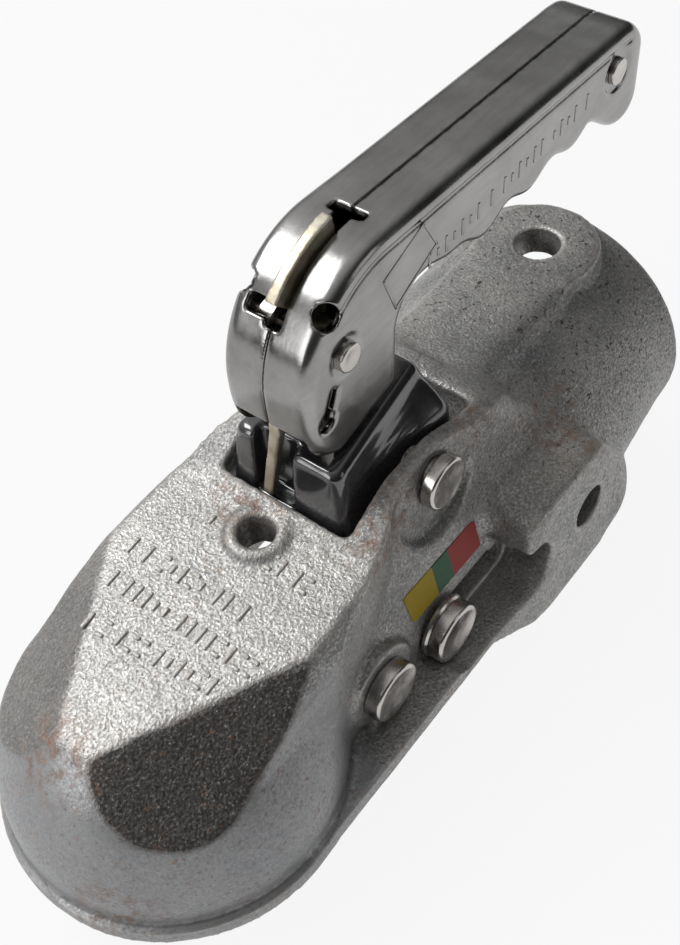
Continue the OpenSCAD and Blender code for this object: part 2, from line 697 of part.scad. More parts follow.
// Band of the bend between two angles, for slots that follow it
module slot_shape(a, b, t) {
    polygon(concat(arc(bend_c, bend_r + 2, a, b, 10), arc(bend_c, bend_r - t, b, a, 10)));
}

// Groove pressed along the upper edge of the side
module grip_groove() {
    across(grip_y - 0.8, grip_y + 1) polygon(concat(
        [[grip_end - 8, top_z(grip_end - 8) - 3.6]],
        [for (p = arc(bend_c, bend_r - 3.6, 90 - grip_pitch, 128, 8)) p],
        [for (p = arc(bend_c, bend_r - 6.2, 128, 90 - grip_pitch, 8)) p],
        [[grip_end - 8, top_z(grip_end - 8) - 6.2]]));
}

module handle_shell_left() {
    color(zinc) difference() {
        handle_half();
        across(-1, 8.6) slot_shape(133, 141, 4.5);
    }
}

module handle_shell_right() {
    color(zinc) mirror([0, 1, 0]) handle_half();
}

// Rivet across the handle, with a low head on each side
module cross_rivet(p, head_r, face, head_t) {
    bar(p, rivet_r, -face, face);
    for (s = [-1, 1]) translate([p[0], s * face, p[1]]) rotate([s * -90, 0, 0]) rotate_extrude()
        polygon([[0, 0], [head_r, 0], [head_r, head_t - 0.5], [head_r - 0.5, head_t], [0, head_t]]);
}

module tip_rivet() {
    color(zinc) cross_rivet(tip_p, 3.9, grip_y - 0.9, 1.6);
}

module latch_rivet() {
    color(zinc) cross_rivet(latch_p, 4, grip_y - 0.7, 2.6);
}

module sleeve(p, r, y0, y1) {
    difference() {
        bar(p, r, y0, y1);
        bar(p, rivet_r + pin_gap, y0 - 1, y1 + 1);
    }
}

module tip_spacer() {
    color(zinc) sleeve(tip_p, rivet_r + 2, -grip_y + sheet_t, grip_y - sheet_t);
}

module latch_spacer_left() {
    color(zinc) sleeve(latch_p, rivet_r + 2, lever_in + lever_t, grip_y - sheet_t);
}

module latch_spacer_right() {
    color(zinc) sleeve(latch_p, rivet_r + 2, -grip_y + sheet_t, -lever_in - lever_t);
}

// Latch plate on the upper rivet: its edge stands proud of the bend and its tail reaches into the window
module latch_plate() {
    edge = bend_r + 4.2;
    low = [window_front + clear + 0.2, pivot_z - 1];
    color(yellow_zinc) difference() {
        union() {
            across(-latch_t / 2, latch_t / 2) {
                polygon(concat(arc(bend_c, edge, 94, 134, 10), arc(bend_c, bend_r - 9, 134, 94, 8)));
                polygon([latch_p + [-6.2, -1], bend_c + (bend_r - 8) * [cos(136), sin(136)],
                    bend_c + (bend_r - 8) * [cos(96), sin(96)], latch_p + [6.2, -1]]);
                translate(latch_p) circle(6.2);
                polygon([latch_p + [-6.2, 0], [front_x + 1.7, bend_c[1] - 10.5], [front_x + 1.7, bend_c[1] - 14],
                    [front_x + 5, bend_c[1] - 14], latch_p + [-1, -6]]);
            }
            // Tail, leaning sideways as it goes down
            tail_x = front_x + 1.7;
            translate([tail_x, 0, bend_c[1] - 12.5]) rotate([tail_lean, 0, 0])
                across(-latch_t / 2, latch_t / 2) polygon([[0, 0], [low[0] - tail_x, low[1] - bend_c[1] + 12.5],
                    [low[0] - tail_x + 2.6, low[1] - bend_c[1] + 12.5], [3.2, 0]]);
        }
        bar(latch_p, rivet_r + pin_gap, -10, 10);
    }
}

tail_lean = 12;

// Small torsion spring beside the latch plate
module latch_spring() {
    r = 0.6;
    coil_r = rivet_r + r + 0.5;
    y0 = latch_t / 2 + r + clear;
    y1 = lever_in - r - 0.1;
    turns = 1.25;
    steps = 20;
    coil = [for (i = [0:steps])
        let(a = 20 + 360 * turns * i / steps)
        [latch_p[0] + coil_r * cos(a), y0 + (y1 - y0) * i / steps, latch_p[1] + coil_r * sin(a)]];
    start = coil[0] + 7 * [sin(20), 0, -cos(20)];
    color(spring_steel) wire(concat([start], coil), r, 6);
}

boot_top = leg_low_z - 1.4;
boot_low = pivot_z - 7;
boot_front = window_front + 0.4;
boot_rear = window_rear - 5;

// Plan outline of the boot, narrower to the rear, at a height
function boot_ring(z, in) =
    let(t = (z - boot_low) / (boot_top - boot_low), x0 = boot_front + 2.6 * t + in, x1 = boot_rear - 3 * t - in,
        y0 = window_y - 0.9 - 3.4 * t - in, y1 = 12.4 - 1.6 * t - in, r = 3 - in * 0.6)
    [for (c = [[x0 + r, y0 - r, 90], [x0 + r, -y0 + r, 180], [x1 - r, -y1 + r, 270], [x1 - r, y1 - r, 360]])
        for (k = [0:3]) [c[0] + r * cos(c[2] + 30 * k), c[1] + r * sin(c[2] + 30 * k), z]];

// Soft boot that closes the window round the handle's leg
module dust_boot() {
    wall = 2.6;
    slot_y = 1.5;
    color(black) difference() {
        loft([for (z = [boot_low, pivot_z + 2, boot_top - 1, boot_top]) boot_ring(z, z == boot_top ? 0.8 : 0)]);
        loft([for (z = [boot_low - 1, boot_top - 6]) boot_ring(z, wall)]);
        // Mouth for the leg and the lever plates
        translate([boot_front + 6, -lever_in - lever_t - 1.5, boot_low])
            cube([pivot_x + 8.7 - boot_front, 2 * (lever_in + lever_t + 1.5), boot_top]);
        // Notch for the latch's tail
        translate([boot_front - 2, slot_y - 4, boot_low - 1]) cube([9, 13, boot_top]);
        bar([pivot_x, pivot_z], pivot_r + 0.6, -big / 2, big / 2);
    }
}

// Printed label on the leaning side wall
module wear_label() {
    label_t = 0.3;
    color("gold") translate([0, -wall_y, lean_from]) rotate([-atan(lean), 0, 0])
        translate([60.5, -label_t, 5.6]) cube([35, label_t, 13]);
}

housing();
main_pivot_pin();
main_pin_ring();
main_bush();
main_spring();
jaw_pivot_pin();
jaw_pin_ring();
ball_jaw();
jaw_spring();
indicator_pin();
indicator_washer_left();
indicator_washer_right();
lock_roller();
lever_plate_left();
lever_plate_right();
handle_shell_left();
handle_shell_right();
tip_rivet();
tip_spacer();
latch_rivet();
latch_spacer_left();
latch_spacer_right();
latch_plate();
latch_spring();
dust_boot();
wear_label();
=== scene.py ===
import bpy
import bmesh
import math
import numpy as np
from mathutils import Matrix, Vector, noise
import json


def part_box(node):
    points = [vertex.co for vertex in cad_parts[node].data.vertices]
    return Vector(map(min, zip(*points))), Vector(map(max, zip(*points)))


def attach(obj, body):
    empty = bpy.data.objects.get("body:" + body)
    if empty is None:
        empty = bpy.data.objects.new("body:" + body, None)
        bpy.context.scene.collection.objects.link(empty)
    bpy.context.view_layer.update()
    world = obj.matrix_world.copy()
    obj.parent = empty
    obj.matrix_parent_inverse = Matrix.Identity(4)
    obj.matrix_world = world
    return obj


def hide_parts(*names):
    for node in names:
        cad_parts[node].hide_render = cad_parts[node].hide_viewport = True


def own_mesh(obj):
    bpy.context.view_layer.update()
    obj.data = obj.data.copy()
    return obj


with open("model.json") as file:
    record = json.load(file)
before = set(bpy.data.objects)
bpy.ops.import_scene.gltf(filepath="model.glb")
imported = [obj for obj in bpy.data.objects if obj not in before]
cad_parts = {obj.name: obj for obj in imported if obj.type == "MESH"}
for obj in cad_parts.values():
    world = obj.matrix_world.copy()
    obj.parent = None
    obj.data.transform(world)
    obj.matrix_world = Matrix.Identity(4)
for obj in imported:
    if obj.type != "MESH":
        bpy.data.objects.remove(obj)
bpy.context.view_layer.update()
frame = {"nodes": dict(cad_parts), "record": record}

scene = bpy.context.scene
MM = 0.001


# Materials
RUST_SPOTS = (((53, 8, 47), 16), ((66, -27, 52), 22), ((60, -30, 48), 14), ((-46, -20, 0), 18),
              ((-30, 5, 34), 16), ((135, -40, 28), 20), ((105, -26, 50), 12))


class Nodes:
    """Builds the node tree of one material."""

    def __init__(self, name):
        self.mat = bpy.data.materials.new(name)
        self.mat.use_nodes = True
        self.tree = self.mat.node_tree
        self.tree.nodes.clear()
        self.out = self.tree.nodes.new("ShaderNodeOutputMaterial")
        self.bsdf = self.tree.nodes.new("ShaderNodeBsdfPrincipled")
        self.link(self.bsdf.outputs[0], self.out.inputs[0])

    def add(self, kind, **props):
        n = self.tree.nodes.new(kind)
        for k, v in props.items():
            setattr(n, k, v)
        return n

    def link(self, a, b):
        self.tree.links.new(a, b)

    def set(self, socket, value):
        if hasattr(value, "is_output"):
            self.link(value, socket)
        else:
            socket.default_value = value

    def coords(self):
        if not hasattr(self, "_co"):
            self._co = self.add("ShaderNodeTexCoord").outputs["Object"]
        return self._co

    def noise(self, scale, detail=3.0, rough=0.5, vector=None, distortion=0.0):
        n = self.add("ShaderNodeTexNoise")
        n.inputs["Scale"].default_value = scale
        n.inputs["Detail"].default_value = detail
        n.inputs["Roughness"].default_value = rough
        n.inputs["Distortion"].default_value = distortion
        self.link(vector or self.coords(), n.inputs["Vector"])
        return n.outputs[0]

    def voronoi(self, scale, feature="F1", randomness=1.0, vector=None):
        n = self.add("ShaderNodeTexVoronoi", feature=feature)
        n.inputs["Scale"].default_value = scale
        n.inputs["Randomness"].default_value = randomness
        self.link(vector or self.coords(), n.inputs["Vector"])
        return n.outputs["Distance"]

    def ramp(self, fac, stops, interpolation="LINEAR"):
        n = self.add("ShaderNodeValToRGB")
        n.color_ramp.interpolation = interpolation
        els = n.color_ramp.elements
        while len(els) > 1:
            els.remove(els[-1])
        els[0].position, els[0].color = stops[0][0], self._c(stops[0][1])
        for pos, col in stops[1:]:
            e = els.new(pos)
            e.color = self._c(col)
        self.link(fac, n.inputs[0])
        return n.outputs[0]

    @staticmethod
    def _c(c):
        if isinstance(c, (int, float)):
            return (c, c, c, 1.0)
        return (*c, 1.0) if len(c) == 3 else c

    def mix(self, fac, a, b, mode="MIX"):
        n = self.add("ShaderNodeMix", data_type="RGBA", blend_type=mode)
        self.set(n.inputs[0], fac)
        for sock, v in ((n.inputs[6], a), (n.inputs[7], b)):
            if hasattr(v, "is_output"):
                self.link(v, sock)
            else:
                sock.default_value = self._c(v)
        return n.outputs[2]

    def math(self, op, a, b=0.5, c=None, clamp=False):
        n = self.add("ShaderNodeMath", operation=op, use_clamp=clamp)
        self.set(n.inputs[0], a)
        self.set(n.inputs[1], b)
        if c is not None:
            self.set(n.inputs[2], c)
        return n.outputs[0]

    def remap(self, v, a, b, c=0.0, d=1.0):
        n = self.add("ShaderNodeMapRange")
        self.set(n.inputs[0], v)
        for i, x in enumerate((a, b, c, d)):
            n.inputs[i + 1].default_value = x
        return n.outputs[0]

    def bump(self, height, strength=0.3, distance=0.0005, normal=None):
        n = self.add("ShaderNodeBump")
        self.set(n.inputs["Strength"], strength)
        n.inputs["Distance"].default_value = distance
        self.link(height, n.inputs["Height"])
        if normal is not None:
            self.link(normal, n.inputs["Normal"])
        return n.outputs[0]

    def split(self, vector):
        n = self.add("ShaderNodeSeparateXYZ")
        self.link(vector, n.inputs[0])
        return n.outputs

    def stretch(self, scale, rotation=(0, 0, 0), vector=None):
        n = self.add("ShaderNodeMapping")
        n.inputs["Scale"].default_value = scale
        n.inputs["Rotation"].default_value = rotation
        self.link(vector or self.coords(), n.inputs["Vector"])
        return n.outputs[0]

    def finish(self, color, metallic, roughness, normal=None, **more):
        b = self.bsdf.inputs
        if hasattr(color, "is_output"):
            self.link(color, b["Base Color"])
        else:
            b["Base Color"].default_value = self._c(color)
        self.set(b["Metallic"], metallic)
        self.set(b["Roughness"], roughness)
        if normal is not None:
            self.link(normal, b["Normal"])
        for k, v in more.items():
            self.set(b[k], v)
        return self.mat


def blob(m, centre, radius, soft=0.35):
    """1 inside a soft ball round a place on the part, 0 outside."""
    sub = m.add("ShaderNodeVectorMath", operation="DISTANCE")
    m.link(m.coords(), sub.inputs[0])
    sub.inputs[1].default_value = [c * MM for c in centre]
    return m.remap(sub.outputs["Value"], radius * MM, radius * MM * soft, 0.0, 1.0)


def cast_zinc(name="cast_zinc"):
    """Zinc over a coarse casting: spangled grey with rust specks and dark coarse facets, with a painted
    highlight on the upward-facing top and painted shade in the hollows.
    """
    m = Nodes(name)
    geo = m.add("ShaderNodeNewGeometry")
    grain = m.noise(1250.0, 3.0, 0.6)
    cells = m.voronoi(1500.0, "SMOOTH_F1")
    wide = m.noise(38.0, 4.0, 0.6)
    patch = m.noise(90.0, 5.0, 0.65)
    base = m.ramp(wide, [(0.30, (0.20, 0.20, 0.20)), (0.5, (0.30, 0.297, 0.29)),
                         (0.72, (0.38, 0.372, 0.355))])
    band = m.add("ShaderNodeAttribute", attribute_name="band").outputs["Fac"]
    lit_top = m.add("ShaderNodeAttribute", attribute_name="lit_top").outputs["Fac"]
    base = m.mix(m.math("MULTIPLY", band, 0.75), base, (0.30, 0.305, 0.315))
    # Painted highlight: the upward-facing top of the casting is painted lighter
    base = m.mix(m.math("MULTIPLY", lit_top, 0.45), base, (0.56, 0.55, 0.53))
    coarser = m.math("SUBTRACT", 1.0, m.math("MULTIPLY", band, 0.85))
    bright = m.math("MULTIPLY", coarser, m.remap(grain, 0.50, 0.68, 0.0, 0.5))
    base = m.mix(bright, base, (0.60, 0.59, 0.57))
    dull = m.math("MULTIPLY", coarser, m.remap(grain, 0.47, 0.36, 0.0, 0.35))
    base = m.mix(dull, base, (0.10, 0.094, 0.088))
    # Side facets: dark and coarse
    xyz = m.split(m.coords())
    at = m.add("ShaderNodeAttribute", attribute_name="facet")
    ragged = m.math("MULTIPLY", m.math("SUBTRACT", patch, 0.5), 1.1)
    dark = m.remap(m.math("ADD", at.outputs["Fac"], ragged), 0.35, 0.62, 0.0, 1.0)
    near_side = m.remap(xyz[1], 0.004, -0.004, 0.30, 1.0)
    dark = m.math("MULTIPLY", dark, near_side)
    coarse = m.ramp(grain, [(0.36, (0.022, 0.020, 0.019)), (0.60, (0.080, 0.074, 0.070)),
                            (0.74, (0.34, 0.32, 0.30))])
    base = m.mix(m.math("MULTIPLY", dark, 0.92), base, coarse)
    # Brown soot round the facets and small dark pits all over
    halo = m.remap(m.math("ADD", at.outputs["Fac"], ragged), 0.10, 0.45, 0.0, 0.55)
    halo = m.math("MULTIPLY", m.math("SUBTRACT", halo, dark, clamp=True), near_side)
    base = m.mix(halo, base, (0.075, 0.058, 0.045))
    pits = m.remap(m.noise(560.0, 3.0, 0.65), 0.60, 0.655, 0.0, 0.9)
    wander = m.math("MULTIPLY", m.math("SUBTRACT", wide, 0.5), 0.09)
    more = m.remap(m.math("ADD", xyz[0], wander), 0.110, 0.150, 0.35, 1.0)
    base = m.mix(m.math("MULTIPLY", pits, more), base, (0.050, 0.034, 0.024))
    # Rust: specks everywhere, more on edges
    specks = m.noise(420.0, 3.0, 0.7)
    where = m.noise(55.0, 3.0, 0.6)
    pointy = m.remap(geo.outputs["Pointiness"], 0.50, 0.58, 0.0, 1.0)
    rust = m.math("MULTIPLY", m.remap(specks, 0.60, 0.70, 0.0, 1.0), m.remap(where, 0.45, 0.62, 0.0, 1.0))
    edge = m.math("MULTIPLY", pointy, m.remap(m.noise(160.0, 4.0, 0.7), 0.50, 0.62, 0.0, 1.0))
    rust = m.math("MAXIMUM", rust, m.math("MULTIPLY", edge, 0.8))
    for centre, radius in RUST_SPOTS:
        patchy = m.remap(m.noise(260.0, 4.0, 0.7), 0.47, 0.60, 0.0, 0.8)
        spot = m.math("MULTIPLY", blob(m, centre, radius), patchy)
        rust = m.math("MAXIMUM", rust, spot)
    rust_col = m.ramp(specks, [(0.3, (0.10, 0.045, 0.02)), (0.6, (0.24, 0.11, 0.05)),
                               (0.8, (0.36, 0.20, 0.10))])
    base = m.mix(m.math("MULTIPLY", rust, 0.75), base, rust_col)
    # Painted shade: concave hollows and creases are darkened. The next mix makes sharp convex edges lighter.
    hollow = m.remap(geo.outputs["Pointiness"], 0.485, 0.44, 0.0, 0.75)
    base = m.mix(hollow, base, (0.050, 0.042, 0.036))
    base = m.mix(m.remap(geo.outputs["Pointiness"], 0.512, 0.55, 0.0, 0.55), base, (0.66, 0.64, 0.61))
    metal = m.math("SUBTRACT", m.math("ADD", 0.55, m.math("MULTIPLY", lit_top, 0.2)),
                   m.math("MULTIPLY", rust, 0.55), clamp=True)
    rough = m.remap(grain, 0.35, 0.7, 0.58, 0.28)
    rough = m.math("ADD", m.math("MULTIPLY", rough, m.math("SUBTRACT", 1.0, dark)),
                   m.math("MULTIPLY", dark, 0.55))
    height = m.math("ADD", m.math("MULTIPLY", cells, 0.5), grain)
    height = m.math("ADD", height, m.math("MULTIPLY", m.noise(620.0, 2.0, 0.5), 0.8))
    strength = m.bump(height, m.math("MULTIPLY", m.math("ADD", 0.70, m.math("MULTIPLY", dark, 0.25)),
                                     m.math("SUBTRACT", 1.0, m.math("MULTIPLY", band, 0.7))), 0.00035)
    return m.finish(base, metal, rough, strength)


def bright_zinc(name="bright_zinc"):
    """Bright zinc on pressed sheet."""
    m = Nodes(name)
    cloud = m.noise(60.0, 4.0, 0.6)
    fine = m.noise(900.0, 3.0, 0.6)
    lines = m.noise(380.0, 4.0, 0.7, m.stretch((0.12, 1.0, 1.0)))
    base = m.ramp(cloud, [(0.3, (0.25, 0.245, 0.24)), (0.7, (0.36, 0.355, 0.35))])
    base = m.mix(m.remap(lines, 0.45, 0.75, 0.0, 0.3), base, (0.17, 0.16, 0.155))
    rough = m.remap(cloud, 0.3, 0.7, 0.16, 0.30)
    normal = m.bump(m.math("ADD", m.math("MULTIPLY", fine, 0.3), lines), 0.10, 0.0002)
    return m.finish(base, 1.0, rough, normal)


def turned_zinc(name, tint=(0.60, 0.57, 0.545)):
    """Turned and plated steel with faint stains."""
    m = Nodes(name)
    cloud = m.noise(140.0, 5.0, 0.6)
    fine = m.noise(1400.0, 2.0, 0.5)
    base = m.ramp(cloud, [(0.3, tuple(c * 0.72 for c in tint)), (0.7, tint)])
    base = m.mix(m.remap(m.noise(300.0, 4.0, 0.7), 0.62, 0.74, 0.0, 0.6), base, (0.16, 0.11, 0.09))
    rough = m.remap(cloud, 0.3, 0.7, 0.14, 0.34)
    return m.finish(base, 1.0, rough, m.bump(fine, 0.12, 0.0002))


def yellow_zinc(name="latch_zinc"):
    m = Nodes(name)
    cloud = m.noise(200.0, 5.0, 0.65)
    base = m.ramp(cloud, [(0.3, (0.40, 0.34, 0.24)), (0.55, (0.58, 0.53, 0.42)), (0.75, (0.66, 0.64, 0.58))])
    base = m.mix(m.remap(m.noise(500.0, 4.0, 0.7), 0.60, 0.72, 0.0, 0.5), base, (0.22, 0.14, 0.08))
    return m.finish(base, 0.95, m.remap(cloud, 0.3, 0.7, 0.28, 0.5), m.bump(m.noise(1500.0), 0.2, 0.0002))


def spring_steel(name="spring_steel"):
    m = Nodes(name)
    cloud = m.noise(300.0, 4.0, 0.6)
    base = m.ramp(cloud, [(0.3, (0.10, 0.10, 0.105)), (0.7, (0.22, 0.22, 0.23))])
    return m.finish(base, 0.9, 0.38, m.bump(cloud, 0.1, 0.0002))


def boot_black(name="boot_black"):
    m = Nodes(name)
    cloud = m.noise(70.0, 4.0, 0.6)
    dust = m.noise(700.0, 4.0, 0.7)
    base = m.ramp(cloud, [(0.3, (0.014, 0.014, 0.016)), (0.7, (0.034, 0.034, 0.038))])
    base = m.mix(m.remap(dust, 0.62, 0.75, 0.0, 0.12), base, (0.20, 0.19, 0.18))
    rough = m.remap(cloud, 0.3, 0.7, 0.14, 0.30)
    coat = {"Coat Weight": 0.8, "Coat Roughness": 0.10, "Coat IOR": 1.8}
    return m.finish(base, 0.0, rough, m.bump(cloud, 0.12, 0.002), **coat)


def jaw_iron(name="jaw_iron"):
    m = Nodes(name)
    cloud = m.noise(120.0, 5.0, 0.65)
    base = m.ramp(cloud, [(0.3, (0.10, 0.09, 0.085)), (0.7, (0.26, 0.25, 0.24))])
    return m.finish(base, 0.8, m.remap(cloud, 0.3, 0.7, 0.35, 0.6), m.bump(m.noise(900.0, 3.0), 0.3, 0.0003))


# Where the label's fields meet
YELLOW_END, GREEN_END = 74.8, 82.3


def label_film(name="label_film"):
    """Three plain fields: yellow, green and red."""
    m = Nodes(name)
    x = m.split(m.coords())[0]
    scuff = m.noise(500.0, 4.0, 0.7)
    yellow = m.mix(m.remap(scuff, 0.55, 0.75, 0.0, 0.5), (0.52, 0.37, 0.012), (0.36, 0.28, 0.06))
    green = m.mix(m.remap(scuff, 0.55, 0.75, 0.0, 0.5), (0.035, 0.13, 0.06), (0.07, 0.14, 0.09))
    red = m.mix(m.remap(scuff, 0.55, 0.75, 0.0, 0.5), (0.42, 0.045, 0.04), (0.28, 0.08, 0.07))
    soft = 0.05
    col = m.mix(m.remap(x, (YELLOW_END - soft) * MM, (YELLOW_END + soft) * MM), yellow, green)
    col = m.mix(m.remap(x, (GREEN_END - soft) * MM, (GREEN_END + soft) * MM), col, red)
    return m.finish(col, 0.0, 0.6, m.bump(m.noise(900.0), 0.1, 0.0001))


MATS = {
    "cast_zinc": cast_zinc(),
    "bright_zinc": bright_zinc(),
    "pin_zinc": turned_zinc("pin_zinc"),
    "latch_zinc": yellow_zinc(),
    "spring_steel": spring_steel(),
    "boot_black": boot_black(),
    "label_film": label_film(),
    "jaw_iron": jaw_iron(),
}

for sub in frame["record"]["subparts"]:
    obj = frame["nodes"][sub["node"]]
    obj.data.materials.clear()
    obj.data.materials.append(MATS[sub["material_slot"]])


# Mesh helpers
def add_object(name, me, body, slot, nodes=(), smooth=True, mat=None):
    """Links a mesh in the row frame, gives it its finish and lets it ride on a body."""
    me.materials.clear()
    me.materials.append(mat or MATS[slot])
    if smooth:
        me.shade_smooth()
    o = bpy.data.objects.new(name, me)
    scene.collection.objects.link(o)
    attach(o, body)
    if nodes:
        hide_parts(*nodes)
    return o


def node_mesh(name):
    src = frame["nodes"][name]
    me = src.data.copy()
    me.transform(src.matrix_world)
    return me


def with_modifiers(me, *mods):
    """The mesh after modifiers, each given as (type, {setting: value})."""
    tmp = bpy.data.objects.new("tmp", me)
    scene.collection.objects.link(tmp)
    for kind, props in mods:
        m = tmp.modifiers.new(kind, kind)
        for k, v in props.items():
            setattr(m, k, v)
    graph = bpy.context.evaluated_depsgraph_get()
    out = bpy.data.meshes.new_from_object(tmp.evaluated_get(graph))
    bpy.data.objects.remove(tmp)
    return out


def voxels(me, size):
    return with_modifiers(me, ("REMESH", {"mode": "VOXEL", "voxel_size": size * MM}))


def read(me):
    """Vertex places in mm and edges of a mesh."""
    v = np.empty(len(me.vertices) * 3)
    me.vertices.foreach_get("co", v)
    e = np.empty(len(me.edges) * 2, dtype=np.int64)
    me.edges.foreach_get("vertices", e)
    return v.reshape(-1, 3) / MM, e.reshape(-1, 2)


def write(me, v):
    me.vertices.foreach_set("co", (v * MM).ravel())
    me.update()


def relax(v, e, steps, weight):
    """Smooths by moving each point towards the middle of its neighbours, as far as its weight says."""
    n = len(v)
    count = np.bincount(e.ravel(), minlength=n)[:, None]
    w = 0.5 * weight[:, None]
    for _ in range(steps):
        total = np.stack([np.bincount(e[:, 0], v[e[:, 1], k], n) + np.bincount(e[:, 1], v[e[:, 0], k], n)
                          for k in range(3)], 1)
        v += w * (total / count - v)
    return v


def normals(me):
    n = np.empty(len(me.vertices) * 3)
    me.vertices.foreach_get("normal", n)
    return n.reshape(-1, 3)


def rise(x, a, b):
    """0 before a, 1 after b, smooth between; a may be above b."""
    t = np.clip((x - a) / (b - a), 0, 1)
    return t * t * (3 - 2 * t)


def within(x, a, b, soft):
    return rise(x, a - soft, a) * (1 - rise(x, b, b + soft))


def fields(v, scale, seed, octaves=2):
    """Smooth noise at each point, about -1 to 1."""
    off = Vector((seed * 7.1, seed * 3.7, seed * 5.3))
    out = np.zeros(len(v))
    for k in range(octaves):
        f = 2.0 ** k / scale
        out += np.array([noise.noise(Vector(p) * f + off) for p in v]) / 2.0 ** k
    return out


def rounded_bars(bars, side=3):
    """One mesh of small raised bars: (centre, along, across, up, length, width, height) in mm."""
    bm = bmesh.new()
    for c, a, b, u, length, width, height in bars:
        part = bmesh.new()
        bmesh.ops.create_cube(part, size=1.0)
        for p in part.verts:
            p.co = Vector((p.co.x * length, p.co.y * width, p.co.z * height * 2))
        bmesh.ops.bevel(part, geom=part.edges[:], offset=min(width, height * 2) * 0.42, segments=side,
                        profile=0.5, affect="EDGES")
        m = Matrix((Vector(a), Vector(b), Vector(u))).transposed().to_4x4()
        m.translation = Vector(c)
        part.transform(Matrix.Scale(MM, 4) @ m)
        tmp = bpy.data.meshes.new("tmp")
        part.to_mesh(tmp)
        part.free()
        bm.from_mesh(tmp)
        bpy.data.meshes.remove(tmp)
    me = bpy.data.meshes.new("bars")
    bm.to_mesh(me)
    bm.free()
    return me


def lathe(profile, centre, toward, segments=72, closed=False):
    """Turned solid about an axis: profile is (radius, height) in mm, heights along toward."""
    t = Vector(toward).normalized()
    a = t.orthogonal().normalized()
    b = t.cross(a)
    bm = bmesh.new()
    rings = []
    for r, h in profile:
        mid = Vector(centre) + t * h
        if r < 1e-6:
            rings.append([bm.verts.new(mid * MM)])
        else:
            rings.append([bm.verts.new((mid + (a * math.cos(k) + b * math.sin(k)) * r) * MM)
                          for k in (2 * math.pi * i / segments for i in range(segments))])
    pairs = list(zip(rings, rings[1:])) + ([(rings[-1], rings[0])] if closed else [])
    for p, q in pairs:
        for i in range(segments):
            j = (i + 1) % segments
            if len(p) == 1:
                bm.faces.new((p[0], q[i], q[j]))
            elif len(q) == 1:
                bm.faces.new((p[j], p[i], q[0]))
            else:
                bm.faces.new((p[i], q[i], q[j], p[j]))
    bmesh.ops.recalc_face_normals(bm, faces=bm.faces[:])
    me = bpy.data.meshes.new("lathe")
    bm.to_mesh(me)
    bm.free()
    return me


def turn(c, r, a, b, n=6):
    """Points of an arc in a lathe profile, angles in degrees."""
    return [(c[0] + r * math.cos(math.radians(a + (b - a) * i / n)),
             c[1] + r * math.sin(math.radians(a + (b - a) * i / n))) for i in range(n + 1)]


# Casting
WALL_Y, EAR_Y, LEAN_FROM = 37.2, 27.3, 4.0
# Direction that the left side facet of the nose faces
FACET_N = (-0.36, 0.5, 0.79)
FACET_Z, FACET_RISE = 41.6, 0.1
PIVOT = (85.7, 46.3)
JAW_PIN = (45.0, 5.0)
IND_X, IND_TRAVEL = 72.6, 28.4
BOLT_X, BOLT_UP, BOLT_R = 132.6, 180.7, 7.25
SIGHT_X = 44.4
LEAN = (WALL_Y - EAR_Y) / (50 - LEAN_FROM)


def wall_at(z):
    """Half width of the housing's outer wall at a height."""
    return WALL_Y - LEAN * np.maximum(z - LEAN_FROM, 0)


